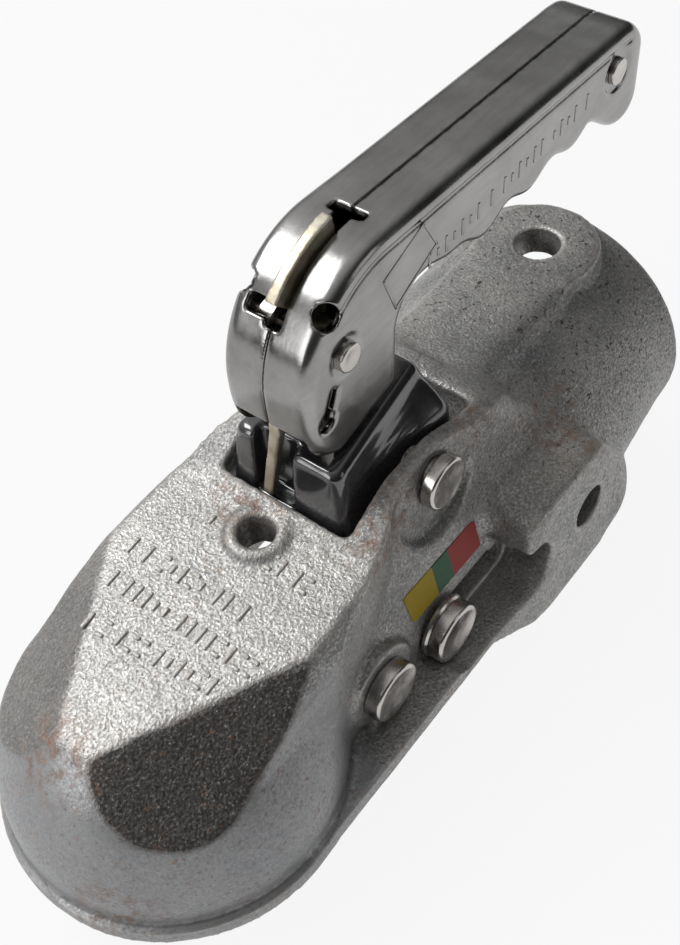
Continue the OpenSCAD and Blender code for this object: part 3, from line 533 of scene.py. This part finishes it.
def casting():
    me = voxels(node_mesh("housing"), 0.95)
    v, e = read(me)
    x, y, z = v.T
    ay = np.abs(y)
    r_tube = np.hypot(y, z)
    # Side facets, known by the way they face
    n = normals(me)
    k = math.hypot(*FACET_N)
    aim = (n[:, 0] * FACET_N[0] + n[:, 1] * np.sign(y) * FACET_N[1] + n[:, 2] * FACET_N[2]) / k
    facet = rise(aim, 0.93, 0.975) * (x < 30) * (z > 4)
    # Upward-facing top of the nose, which the casting's material paints lighter as a painted highlight
    lit_top = rise(n[:, 2], 0.955, 0.985) * (x < 60) * (z > 36)
    band = (1 - facet) * (1 - lit_top) * (x < 34) * (z < 37) * (1 - rise(x, 26, 34))
    # Turned and drilled surfaces stay crisp
    near_pin = np.minimum(np.hypot(x - PIVOT[0], z - PIVOT[1]) - 18,
                          np.hypot(x - JAW_PIN[0], z - JAW_PIN[1]) - 14)
    run = np.clip(x, IND_X, IND_X + IND_TRAVEL)
    near_pin = np.minimum(near_pin, np.hypot(x - run, z) - 12)
    machined = (near_pin < 0) & (ay > 14)
    holes = np.abs(np.hypot(x - BOLT_X, z) - BOLT_R) < 1.4
    holes |= np.abs(np.hypot(x - BOLT_UP, y) - BOLT_R) < 1.4
    inside = ((r_tube < 35.8) & (x > 118)) | (np.sqrt(x * x + y * y + z * z) < 27) & (x < 20)
    weight = np.where(machined | holes | inside, 0.35, 1.0)
    weight *= np.where((z < -4) & (x < 95), 0.4, 1.0)
    v = relax(v, e, 5, weight)
    # The blends: lugs into walls and socket, facets into the nose, rim into the walls
    blend = within(x, 100, 172, 8) * within(ay, 22, 43, 3) * within(z, 16, 44, 5)
    blend = np.maximum(blend, within(x, 150, 192, 8) * within(ay, 22, 50, 3) * within(z, -36, 20, 5) * 0.8)
    blend = np.maximum(blend, 0.5 * within(x, 116, 140, 5) * within(z, 28, 52, 3) * (ay > 16))
    blend = np.maximum(blend, within(x, 116, 164, 5) * within(ay, 9, 27, 4) * within(z, 34, 52, 2))
    blend *= np.where(holes | inside | machined, 0, 1)
    v = relax(v, e, 90, blend)
    soft = within(x, -40, 26, 6) * (z > 26) * 0.5
    soft = np.maximum(soft, within(x, 84, 108, 4) * within(ay, 36, 51, 2) * within(z, -10, 26, 3))
    soft *= np.where(machined & (ay < 44) | holes | inside, 0, 1)
    v = relax(v, e, 14, soft)
    write(me, v)
    # Lumps of the sand mould, ragged edges and the coarse side facets
    n = normals(me)
    x, y, z = v.T
    ay = np.abs(y)
    quiet = np.where(machined | holes, 0.0, np.where(inside, 0.1, 1.0))
    quiet *= np.where(ay > 50.2, 0.25, 1.0)
    quiet *= 1 - within(x, 60, 99, 2) * within(z, 9, 25, 2) * (y < -28)
    lumps = 0.13 * fields(v, 9.0, 1, 3) + 0.05 * fields(v, 2.6, 2, 1)
    rough = 0.10 * fields(v, 1.7, 3, 1)
    ragged = within(x, 47, 62, 3) * within(ay, 0, 34, 4) * (z > 42) * 0.22 * fields(v, 2.4, 4, 2)
    shift = quiet * (lumps + facet * rough + ragged)
    v += n * shift[:, None]
    # The drilled holes are true circles
    for c0, c1, i, j, rad in ((BOLT_X, 0, 0, 2, BOLT_R), (BOLT_UP, 0, 0, 1, BOLT_R)):
        d = np.hypot(v[:, i] - c0, v[:, j] - c1)
        hit = (np.abs(d - rad) < 0.7)
        if i == 0 and j == 1:
            hit &= np.abs(v[:, 2]) > 34
        else:
            hit &= np.abs(v[:, 1]) > 34
        k = np.where(hit, rad / np.maximum(d, 1e-6), 1.0)
        v[:, i] = c0 + (v[:, i] - c0) * k
        v[:, j] = c1 + (v[:, j] - c1) * k
    keep = np.minimum(np.maximum(v, LOW), HIGH)
    write(me, keep)
    masks = relax(np.stack([facet, lit_top, band], 1).astype(float), e, 6, np.ones(len(v)))
    for k, name in enumerate(("facet", "lit_top", "band")):
        me.attributes.new(name, "FLOAT", "POINT").data.foreach_set("value", np.ascontiguousarray(masks[:, k]))
    # The hidden inside needs few faces
    x, y, z = keep.T
    ay = np.abs(y)
    hidden = (np.hypot(y, z) < 41) & (x > 114) & (x < 196)
    hidden |= (np.sqrt(x * x + y * y + z * z) < 43) & (x < 20) & (z < 36)
    hidden |= (z < 20) & (x > 15) & (x < 118) & (ay < 33)
    hidden |= (z < -16)
    tmp = bpy.data.objects.new("tmp", me)
    scene.collection.objects.link(tmp)
    group = tmp.vertex_groups.new(name="hidden")
    group.add(np.nonzero(hidden)[0].tolist(), 1.0, "REPLACE")
    group.add(np.nonzero(~hidden)[0].tolist(), 0.0, "REPLACE")
    faces = len(me.polygons) * 2
    dec = tmp.modifiers.new("fewer", "DECIMATE")
    dec.ratio = min(1.0, 192000 / faces)
    dec.vertex_group = "hidden"
    dec.vertex_group_factor = 1000.0
    graph = bpy.context.evaluated_depsgraph_get()
    out = bpy.data.meshes.new_from_object(tmp.evaluated_get(graph))
    bpy.data.objects.remove(tmp)
    return add_object("casting", out, "head", "cast_zinc", ["housing"])


LOW, HIGH = [np.array(c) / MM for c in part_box("housing")]
casting()


# Handle
GRIP_Y, SHEET, SEAM = 13.4, 2.4, 0.15
GRIP_TOP, PITCH, BEND_R, GRIP_END = 120.3, 3.75, 33.0, 212.5
WAVE_PITCH, WAVE_H = 21.5, 1.6
EDGE_TOP, EDGE_LOW = 3.6, 2.6
BEND = (GRIP_END - 124.5, GRIP_TOP - BEND_R)
FRONT_X = BEND[0] - BEND_R
LATCH = (FRONT_X + 16.5, BEND[1] + 9.5)
TIP = (GRIP_END - 15.5, GRIP_TOP - 18.5)
LEG_REAR, LEG_LOW = BEND[0] + 4, BEND[1] - 20.6


def ease(t):
    s = min(max(t, 0.0), 1.0)
    return s * s * (3 - 2 * s)


def top_z(x):
    p = math.radians(PITCH)
    return BEND[1] + BEND_R * math.cos(p) - (x - BEND[0] - BEND_R * math.sin(p)) * math.tan(p)


def under_z(x):
    t = ease((x - BEND[0] - 15) / 26)
    wave = WAVE_H * t * math.cos(2 * math.pi * (x - BEND[0] - 43.5) / WAVE_PITCH)
    return GRIP_TOP - 22.8 - 6.4 * t - wave


WAVE_FROM, WAVE_TO = BEND[0] + 17, GRIP_END - 30
NOOK_R = 12
NOOK = (LEG_REAR + NOOK_R, under_z(WAVE_FROM) - NOOK_R + 0.4)


def curve(points, steps):
    """Smooth curve through rows of numbers."""
    p = [np.array(q, float) for q in points]
    p = [2 * p[0] - p[1]] + p + [2 * p[-1] - p[-2]]
    out = []
    for i in range(1, len(p) - 2):
        for k in range(steps):
            t = k / steps
            out.append(0.5 * (2 * p[i] + (p[i + 1] - p[i - 1]) * t
                              + (2 * p[i - 1] - 5 * p[i] + 4 * p[i + 1] - p[i + 2]) * t * t
                              + (3 * p[i] - p[i - 1] - 3 * p[i + 1] + p[i + 2]) * t ** 3))
    return out + [p[-2]]


def bend_inner(t):
    if t < 0.6:
        a = math.radians(98 + 80 * t / 0.6)
        return NOOK[0] + NOOK_R * math.cos(a), NOOK[1] + NOOK_R * math.sin(a)
    return LEG_REAR - (t - 0.6) * 1.2, NOOK[1] - (t - 0.6) * 17


def handle_stations():
    """Rows of outer x, z, inner x, z and the loss of half width, from the tip to the leg."""
    tip = [(0, -20.3, -0.6, -27.5, 3), (-0.5, -16.5, -1.2, -31.5, 1.5), (-2.6, -12.2, -3.4, -35.6, 0.4),
           (-6.6, -8.6, -7.2, -38.2, 0), (-12, -7.35, -11.6, -38.6, 0), (-17.5, -7, -16.4, -36.8, 0),
           (-22.8, -6.6, -21.6, -32.8, 0), (-27, -6.35, -26, -29.6, 0)]
    tip = [(GRIP_END + q[0], GRIP_TOP + q[1], GRIP_END + q[2], GRIP_TOP + q[3], q[4]) for q in tip]
    straight = [(x, top_z(x), x, under_z(x), 0)
                for x in (WAVE_TO + (WAVE_FROM - WAVE_TO) * i / 80 for i in range(81))]
    rows = curve(tip + straight[:1], 5)[:-1] + straight
    for i in range(1, 65):
        t = i / 64
        a = math.radians(90 - PITCH + (90 + PITCH) * t)
        rows.append((BEND[0] + BEND_R * math.cos(a), BEND[1] + BEND_R * math.sin(a), *bend_inner(t), 0))
    leg = [(0, -4, -0.6, -9.6), (0.4, -8.5, -0.9, -11.4), (1.6, -13, -1.2, -12.8),
           (4.4, -17.4, -1.5, -13.8), (9, -20.6, -2, -14.6)]
    leg = [(FRONT_X + q[0], BEND[1] + q[1], LEG_REAR + q[2], BEND[1] + q[3], 0) for q in leg]
    return rows + curve([rows[-1]] + leg, 5)[1:]


def half_ring(row, seam, wall, r_top, r_low, steps=6):
    a, b = np.array(row[:2]), np.array(row[2:4])
    u = (b - a) / np.linalg.norm(b - a)
    a, b, w = a + wall * u, b - wall * u, GRIP_Y - row[4] - wall
    pts = [(a[0], seam, a[1])]
    for k in range(steps + 1):
        g = math.pi / 2 * k / steps
        q = a + r_top * (1 - math.cos(g)) * u
        pts.append((q[0], w - r_top * (1 - math.sin(g)), q[1]))
    for k in range(steps, -1, -1):
        g = math.pi / 2 * k / steps
        q = b - r_low * (1 - math.cos(g)) * u
        pts.append((q[0], w - r_low * (1 - math.sin(g)), q[1]))
    return pts + [(b[0], seam, b[1])]


def solid(rings):
    """Closed solid through equal rings of points in mm."""
    bm = bmesh.new()
    vs = [[bm.verts.new(Vector(p) * MM) for p in r] for r in rings]
    n = len(rings[0])
    for p, q in zip(vs, vs[1:]):
        for i in range(n):
            bm.faces.new((p[i], p[(i + 1) % n], q[(i + 1) % n], q[i]))
    bm.faces.new(vs[0][::-1])
    bm.faces.new(vs[-1])
    bmesh.ops.triangulate(bm, faces=[f for f in bm.faces if len(f.verts) > 4])
    bmesh.ops.recalc_face_normals(bm, faces=bm.faces[:])
    me = bpy.data.meshes.new("solid")
    bm.to_mesh(me)
    bm.free()
    return me


def prism(outline, y0, y1):
    """Side-view outline drawn out along Y."""
    return solid([[(x, y0, z) for x, z in outline], [(x, y1, z) for x, z in outline]])


def rod(c, r, y0, y1, n=48):
    return prism([(c[0] + r * math.cos(2 * math.pi * i / n), c[1] + r * math.sin(2 * math.pi * i / n))
                  for i in range(n)], y0, y1)


def arc(c, r, a, b, n):
    return [(c[0] + r * math.cos(math.radians(a + (b - a) * i / n)),
             c[1] + r * math.sin(math.radians(a + (b - a) * i / n))) for i in range(n + 1)]


def cut(me, cutters):
    """The mesh less each cutter."""
    for c in cutters:
        o = bpy.data.objects.new("cutter", c)
        scene.collection.objects.link(o)
        me = with_modifiers(me, ("BOOLEAN", {"object": o, "operation": "DIFFERENCE", "solver": "EXACT"}))
        bpy.data.objects.remove(o)
    return me


def slot_shape(a, b, t):
    return arc(BEND, BEND_R + 2, a, b, 16) + arc(BEND, BEND_R - t, b, a, 16)


def handle_half(extra=()):
    rows = handle_stations()
    last = rows[-1]
    inner = [r for r in rows[15:]] + [(last[0] + 2, last[1] - 9, last[2], last[3] - 9, 0)]
    outer = solid([half_ring(r, SEAM, 0, EDGE_TOP, EDGE_LOW) for r in rows])
    hollow = solid([half_ring(r, -2, SHEET, EDGE_TOP - 1.6, EDGE_LOW - 1.4) for r in inner])
    groove = ([(GRIP_END - 8, top_z(GRIP_END - 8) - 4.2)] + arc(BEND, BEND_R - 4.2, 90 - PITCH, 128, 24)
              + arc(BEND, BEND_R - 5.6, 128, 90 - PITCH, 24) + [(GRIP_END - 8, top_z(GRIP_END - 8) - 5.6)])
    hole = rod((0, 0), 3.3, -3, 6)
    turn_y = Matrix.Rotation(math.radians(50), 4, "Y")
    place = (Matrix.Translation(Vector((BEND[0], 0, BEND[1])) * MM) @ turn_y
             @ Matrix.Translation(Vector((-BEND_R + 2.4, GRIP_Y - 2, 0)) * MM)
             @ Matrix.Rotation(math.radians(-40), 4, "Z") @ Matrix.Rotation(math.radians(90), 4, "Z"))
    hole.transform(place)
    keyhole = [(FRONT_X + 6.8, BEND[1] - 4), (FRONT_X + 10.4, BEND[1] + 3.2),
               (FRONT_X + 12.8, BEND[1] + 1.2), (FRONT_X + 10, BEND[1] - 5)]
    cutters = [hollow,
               prism([(FRONT_X - 5, BEND[1] - 8.2), (FRONT_X - 5, LEG_LOW - 5), (FRONT_X + 18, LEG_LOW - 5),
                      (FRONT_X + 5, BEND[1] - 8.2)], -1, GRIP_Y - SHEET),
               prism(groove, GRIP_Y - 0.8, GRIP_Y + 1),
               prism(slot_shape(82, 144, 5), -1, 2.3), prism(slot_shape(79, 85, 4.5), -1, 5),
               rod((FRONT_X + 7.6, BEND[1] - 6.2), 3.1, GRIP_Y - SHEET - 1, GRIP_Y + 1),
               prism(keyhole, GRIP_Y - SHEET - 1, GRIP_Y + 1), hole,
               rod(LATCH, 2.85, -1, GRIP_Y + 1), rod(LATCH, 5.6, GRIP_Y - 0.7, GRIP_Y + 1),
               rod(TIP, 2.85, -1, GRIP_Y + 1), rod(TIP, 6.6, GRIP_Y - 0.9, GRIP_Y + 1)]
    me = voxels(cut(outer, cutters + list(extra)), 0.45)
    v, e = read(me)
    v = relax(v, e, 4, np.ones(len(v)))
    v[:, 1] = np.where(v[:, 1] < 0.45, 0.12, v[:, 1])
    n = normals(me)
    v += n * (0.02 * fields(v, 14.0, 9, 1))[:, None]
    v[:, 1] = np.minimum(v[:, 1], GRIP_Y)
    write(me, v)
    return me


def handle():
    left = handle_half([prism(slot_shape(133, 141, 4.5), -1, 8.6)])
    right = handle_half()
    right.transform(Matrix.Scale(-1, 4, Vector((0, 1, 0))))
    right.flip_normals()
    add_object("grip_left", left, "handle", "bright_zinc", ["handle_shell_left"])
    add_object("grip_right", right, "handle", "bright_zinc", ["handle_shell_right"])


handle()


# Boot
BOOT_LOW, BOOT_TOP, BOOT_FRONT, BOOT_REAR, WINDOW_Y = 39.3, 65.3, 55.9, 107.0, 21.5


def boot_ring(z, inset, steps=8):
    t = (z - BOOT_LOW) / (BOOT_TOP - BOOT_LOW)
    flare = 1 - ease((t - 0.42) / 0.55)
    x0, x1 = BOOT_FRONT + 2.6 * t + inset, BOOT_REAR - 3 * t - inset
    y0, y1 = WINDOW_Y - 0.9 - 3.4 * t - inset, 11.0 + 9.4 * flare - inset
    r = 3.2 - inset * 0.6
    out = []
    for cx, cy, start in ((x0 + r, y0 - r, 90), (x0 + r, -y0 + r, 180),
                          (x1 - r, -y1 + r, 270), (x1 - r, y1 - r, 360)):
        for k in range(steps + 1):
            g = math.radians(start + 90 * k / steps)
            out.append((cx + r * math.cos(g), cy + r * math.sin(g), z))
    return out


def boot():
    """Moulded rubber round the leg: one skin, pressed in where the latch's tail runs."""
    levels = [BOOT_LOW + k * (BOOT_TOP - 1.6 - BOOT_LOW) / 12 for k in range(13)]
    outer = solid([boot_ring(z, 0.1) for z in levels] + [boot_ring(BOOT_TOP, 1.6)])
    hollow = solid([boot_ring(z, 2.2) for z in [BOOT_LOW - 1] + levels[1:-1]])

    def box(x0, x1, y0, y1, z0, z1):
        return prism([(x0, z0), (x1, z0), (x1, z1), (x0, z1)], y0, y1)

    hollow = cut(hollow, [box(BOOT_FRONT - 3, BOOT_FRONT + 9.2, -4.2, 12.2, BOOT_LOW - 2, BOOT_TOP + 1)])
    notch = box(BOOT_FRONT - 3, BOOT_FRONT + 6.8, -2.5, 10.5, 44.4, BOOT_TOP + 1)
    me = voxels(cut(outer, [hollow, notch]), 0.55)
    v, e = read(me)
    x, y, z = v.T
    v = relax(v, e, 8, np.ones(len(v)))
    n = normals(me)
    v += n * (0.18 * fields(v, 12.0, 21, 1) * (z > BOOT_LOW + 2))[:, None]
    low, high = [np.array(c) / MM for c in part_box("dust_boot")]
    write(me, np.minimum(np.maximum(v, low), high))
    o = add_object("boot", me, "head", "boot_black", ["dust_boot"])
    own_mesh(o)
    return o


boot()


# Pins
LATHE_STEPS = 96


def headed(name, node, body, at, face, head_r, head_t, r, tail, rim):
    """Turned head on the near side, shaft through the part."""
    c = 0.9
    profile = [(0, head_t - 0.25), (head_r - rim, head_t - 0.1), (head_r - rim + 0.5, head_t)]
    profile += [(head_r - c, head_t)] + turn((head_r - c, head_t - c), c, 90, 0, 5)[1:]
    end = -2 * face - tail
    profile += [(head_r, 0.35), (head_r - 0.35, 0), (r, 0), (r, end + 0.8), (r - 0.8, end), (0, end)]
    me = lathe(profile, (at[0], -face, at[1]), (0, -1, 0), LATHE_STEPS)
    return add_object(name, me, body, "pin_zinc", [node], smooth=True)


def flat_shade(o, angle=28):
    """Sharp where faces meet steeply."""
    me = o.data
    bm = bmesh.new()
    bm.from_mesh(me)
    for ed in bm.edges:
        if len(ed.link_faces) == 2 and ed.calc_face_angle(0) > math.radians(angle):
            ed.smooth = False
    bm.to_mesh(me)
    bm.free()


JAW_FACE, WASHER_Y, WASHER_T = 38.2, 37.55, 2.0
flat_shade(headed("pin_main", "main_pivot_pin", "head", PIVOT, 28.39, 8.0, 4.0, 6.0, 3.4, 1.6))
flat_shade(headed("pin_jaw", "jaw_pivot_pin", "head", JAW_PIN, JAW_FACE, 9.2, 4.8, 6.0, 3.4, 1.9))


def indicator():
    face, r, t, c = WASHER_Y + WASHER_T, 9.5, 4.6, 1.0
    half = [(0, t - 0.5), (r - 2.6, t - 0.35), (r - 1.9, t), (r - c, t)]
    half += turn((r - c, t - c), c, 90, 0, 5)[1:]
    half += [(r, 0.4), (r - 0.4, 0), (5.0, 0)]
    low = [(q[0], -2 * face - q[1]) for q in reversed(half)]
    me = lathe(half + low, (IND_X, -face, 0), (0, -1, 0), LATHE_STEPS)
    flat_shade(add_object("pin_indicator", me, "indicator", "pin_zinc", ["indicator_pin"]))
    for side, node in ((1, "indicator_washer_left"), (-1, "indicator_washer_right")):
        a, b, w = 5.05, 10.0, WASHER_T
        ring = [(a, 0.15), (a + 0.3, 0), (b - 0.5, 0), (b, 0.5),
                (b, w - 0.6), (b - 0.6, w), (a + 0.4, w), (a, w - 0.3)]
        me = lathe(ring, (IND_X, side * WASHER_Y, 0), (0, side, 0), LATHE_STEPS, closed=True)
        flat_shade(add_object(node + "_turned", me, "indicator", "pin_zinc", [node]))


indicator()


def rivet(name, node, at, face, head_r, head_t):
    half = [(0, head_t - 0.2), (head_r * 0.55, head_t - 0.1), (head_r - 0.7, head_t)]
    half += turn((head_r - 0.6, head_t - 0.6), 0.6, 90, 0, 4)[1:] + [(head_r, 0.1), (2.8, 0)]
    low = [(q[0], -2 * face - q[1]) for q in reversed(half)]
    me = lathe(half + low, (at[0], -face, at[1]), (0, -1, 0), 64)
    flat_shade(add_object(name, me, "handle", "pin_zinc", [node]))


rivet("rivet_tip", "tip_rivet", TIP, GRIP_Y - 0.9, 3.9, 1.6)
rivet("rivet_latch", "latch_rivet", LATCH, GRIP_Y - 0.7, 4.0, 2.6)


def latch():
    """Latch plate with rolled edges and a worn top."""
    me = voxels(node_mesh("latch_plate"), 0.4)
    v, e = read(me)
    low, high = v.min(0), v.max(0)
    v = relax(v, e, 3, np.ones(len(v)))
    n = normals(me)
    v += n * (0.05 * fields(v, 5.0, 31, 2))[:, None]
    write(me, np.minimum(np.maximum(v, low), high))
    add_object("latch_blade", me, "latch", "latch_zinc", ["latch_plate"])


latch()

# Label
def label():
    """Thin film on the leaning wall, with rounded corners."""
    corners = [(62.6, 11.2), (96.9, 10.9), (95.4, 21.4), (61.7, 22.1)]
    pts = []
    for i, c in enumerate(corners):
        c = np.array(c)
        p, q = np.array(corners[i - 1]), np.array(corners[(i + 1) % 4])
        u, w = (p - c) / np.linalg.norm(p - c), (q - c) / np.linalg.norm(q - c)
        for k in range(7):
            t = k / 6
            pts.append(c + 1.6 * ((1 - t) ** 2 * u + t * t * w))
    rings = []
    for off, inset in ((-0.12, 0.0), (0.2, 0.0), (0.28, 0.12)):
        mid = sum(pts) / len(pts)
        ring = []
        for p in pts:
            q = p + (mid - p) / np.linalg.norm(mid - p) * inset
            ring.append((q[0], -float(wall_at(q[1])) - off, q[1]))
        rings.append(ring)
    me = solid(rings)
    low, high = [np.array(c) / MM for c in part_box("wear_label")]
    v, _ = read(me)
    write(me, np.minimum(np.maximum(v, low), high))
    flat_shade(add_object("label", me, "head", "label_film", ["wear_label"], smooth=True), 20)


label()


# Raised marks
def facet_top(x):
    return FACET_Z + FACET_RISE * x


def marks():
    """Rows of plain raised ribs where the casting and the handle carry raised marks."""
    rng = np.random.default_rng(5)
    top = []
    t = math.atan(FACET_RISE)
    up, back = np.array((-math.sin(t), 0, math.cos(t))), np.array((math.cos(t), 0, math.sin(t)))
    for (x0, y0), (x1, y1) in (((41.2, 13.0), (38.9, -22.7)), ((23.9, 26.0), (24.4, -16.8)),
                               ((13.5, 23.8), (13.3, -24.9)), ((0.8, 20.8), (4.6, -20.3))):
        a, b = np.array((x0, y0)), np.array((x1, y1))
        length = np.linalg.norm(b - a)
        d = (b - a) / length
        s = 0.0
        while s < length:
            x, y = a + d * s
            if (x - SIGHT_X) ** 2 + y ** 2 > 81:
                side = np.cross(up, back)
                kind = rng.integers(0, 4)
                if kind < 3:
                    size = (5.2, 5.2, 3.0)[kind]
                    top.append(((x, y, facet_top(x) + 0.02), back, side, up, size, 1.25, 0.52))
                else:
                    for off in (-2.0, 2.0):
                        at = (x + off, y, facet_top(x + off) + 0.02)
                        top.append((at, side, -back, up, 2.6, 1.25, 0.52))
            s += 3.3 if rng.random() < 0.8 else 5.4
    add_object("cast_marks", rounded_bars(top), "head", "cast_zinc")
    grip = []
    near = np.array((0, -1.0, 0))
    k = math.radians(-PITCH)
    tall = np.array((-math.sin(k), 0, math.cos(k)))
    y = -GRIP_Y + 0.02
    s = 0.0
    while s < 78:
        x = 106.2 + s
        z = 100.6 + 1.2 * s / 78
        kind = rng.integers(0, 3)
        size = (5.0, 5.0, 2.6)[kind]
        grip.append(((x, y, z), tall, np.cross(near, tall), near, size, 0.95, 0.22))
        s += 3.6 if rng.random() < 0.85 else 6.0
    box = [(87.7, 107.7), (104.3, 113.5), (109.3, 103.8), (91.6, 96.1)]
    for p, q in zip(box, box[1:] + box[:1]):
        p, q = np.array((p[0], 0, p[1])), np.array((q[0], 0, q[1]))
        u = (q - p) / np.linalg.norm(q - p)
        c = (p + q) / 2
        length = np.linalg.norm(q - p) + 0.6
        grip.append(((c[0], y, c[2]), u, np.cross(near, u), near, length, 0.85, 0.22))
    add_object("grip_marks", rounded_bars(grip), "handle", "bright_zinc")


marks()

# Pieces kept from the frame get soft edges
for name, obj in frame["nodes"].items():
    if name not in ("housing", "main_spring", "jaw_spring", "latch_spring"):
        edge = obj.modifiers.new("edge", "BEVEL")
        edge.width = 0.00022
        edge.segments = 2
        edge.limit_method = "ANGLE"
        edge.angle_limit = math.radians(35)


# Stage
def stage_material(name, color, rough):
    """Pale floor whose colour comes from emission for the rays that see it, with a faint shadow kept."""
    m = Nodes(name)
    cloud = m.noise(3.0, 2.0, 0.5)
    path = m.add("ShaderNodeLightPath")
    seen = m.math("MAXIMUM", path.outputs["Is Camera Ray"], path.outputs["Is Glossy Ray"])
    seen = m.math("MAXIMUM", seen, path.outputs["Is Transmission Ray"])
    base = m.ramp(cloud, [(0.3, tuple(c * 0.985 for c in color)), (0.7, color)])
    m.finish(base, 0.0, rough)
    emit = m.add("ShaderNodeEmission")
    emit.inputs["Color"].default_value = (1.0, 1.0, 1.0, 1.0)
    emit.inputs["Strength"].default_value = 1.0
    mix = m.add("ShaderNodeMixShader")
    m.link(m.math("MULTIPLY", seen, 0.9), mix.inputs[0])
    m.link(m.bsdf.outputs[0], mix.inputs[1])
    m.link(emit.outputs[0], mix.inputs[2])
    m.link(mix.outputs[0], m.out.inputs[0])
    return m.mat


bpy.ops.mesh.primitive_plane_add(size=6.0, location=(0.08, 0, -0.0432))
floor = bpy.context.object
floor.name = "floor"
floor.data.materials.append(stage_material("floor_pale", (0.52, 0.52, 0.52), 0.7))

world = bpy.data.worlds.new("studio")
scene.world = world
world.use_nodes = True
wt = world.node_tree
bg = wt.nodes["Background"]
tc = wt.nodes.new("ShaderNodeTexCoord")
toward = wt.nodes.new("ShaderNodeVectorMath")
toward.operation = "DOT_PRODUCT"
toward.inputs[1].default_value = Vector((0.05, 0.50, 0.86)).normalized()
cr = wt.nodes.new("ShaderNodeValToRGB")
cr.color_ramp.elements[0].position = 0.0
cr.color_ramp.elements[0].color = (0.05, 0.05, 0.05, 1)
cr.color_ramp.elements[1].position = 1.0
cr.color_ramp.elements[1].color = (1.0, 1.0, 0.99, 1)
for place, level in ((0.25, 0.07), (0.50, 0.26), (0.75, 0.66)):
    stop = cr.color_ramp.elements.new(place)
    stop.color = (level, level, level, 1)
wt.links.new(tc.outputs["Generated"], toward.inputs[0])
wt.links.new(toward.outputs["Value"], cr.inputs[0])
wt.links.new(cr.outputs[0], bg.inputs["Color"])
bg.inputs["Strength"].default_value = 0.8


def area(name, loc, target, size, energy, color=(1, 1, 1)):
    light = bpy.data.lights.new(name, "AREA")
    light.shape = "RECTANGLE"
    light.size, light.size_y = size
    light.energy = energy
    light.color = color
    o = bpy.data.objects.new(name, light)
    scene.collection.objects.link(o)
    o.location = loc
    o.rotation_euler = (Vector(target) - Vector(loc)).to_track_quat("-Z", "Y").to_euler()
    return o


area("key", (-0.15, 0.75, 1.1), (0.08, 0, 0.03), (0.7, 0.5), 10.0)
area("left", (-0.9, 0.3, 0.5), (0.05, 0, 0.03), (0.5, 0.6), 3.5)
area("right", (0.5, -1.0, 0.45), (0.08, 0, 0.03), (0.4, 0.5), 0.6)

# Camera
AZ, EL, ROLL, FOCAL, DIST = -46.96, 50.52, -7.01, 1320.9, 0.361
TARGET = Vector((0.07515, -0.00346, 0.04232))
IMAGE_H, SENSOR_H = 945, 24.0
a, e, r = math.radians(AZ), math.radians(EL), math.radians(ROLL)
back = Vector((math.sin(a) * math.cos(e), -math.cos(a) * math.cos(e), math.sin(e)))
right = Vector((math.cos(a), math.sin(a), 0.0))
up = back.cross(right)
R = right * math.cos(r) + up * math.sin(r)
U = -math.sin(r) * right + math.cos(r) * up
cam_data = bpy.data.cameras.new("camera")
cam = bpy.data.objects.new("camera", cam_data)
scene.collection.objects.link(cam)
mat = Matrix((R, U, back)).transposed().to_4x4()
mat.translation = TARGET + back * DIST
cam.matrix_world = mat
cam_data.sensor_fit = "VERTICAL"
cam_data.sensor_height = SENSOR_H
cam_data.lens = FOCAL / IMAGE_H * SENSOR_H
cam_data.clip_start = 0.01
cam_data.clip_end = 50.0
scene.camera = cam
scene.view_settings.view_transform = "Standard"
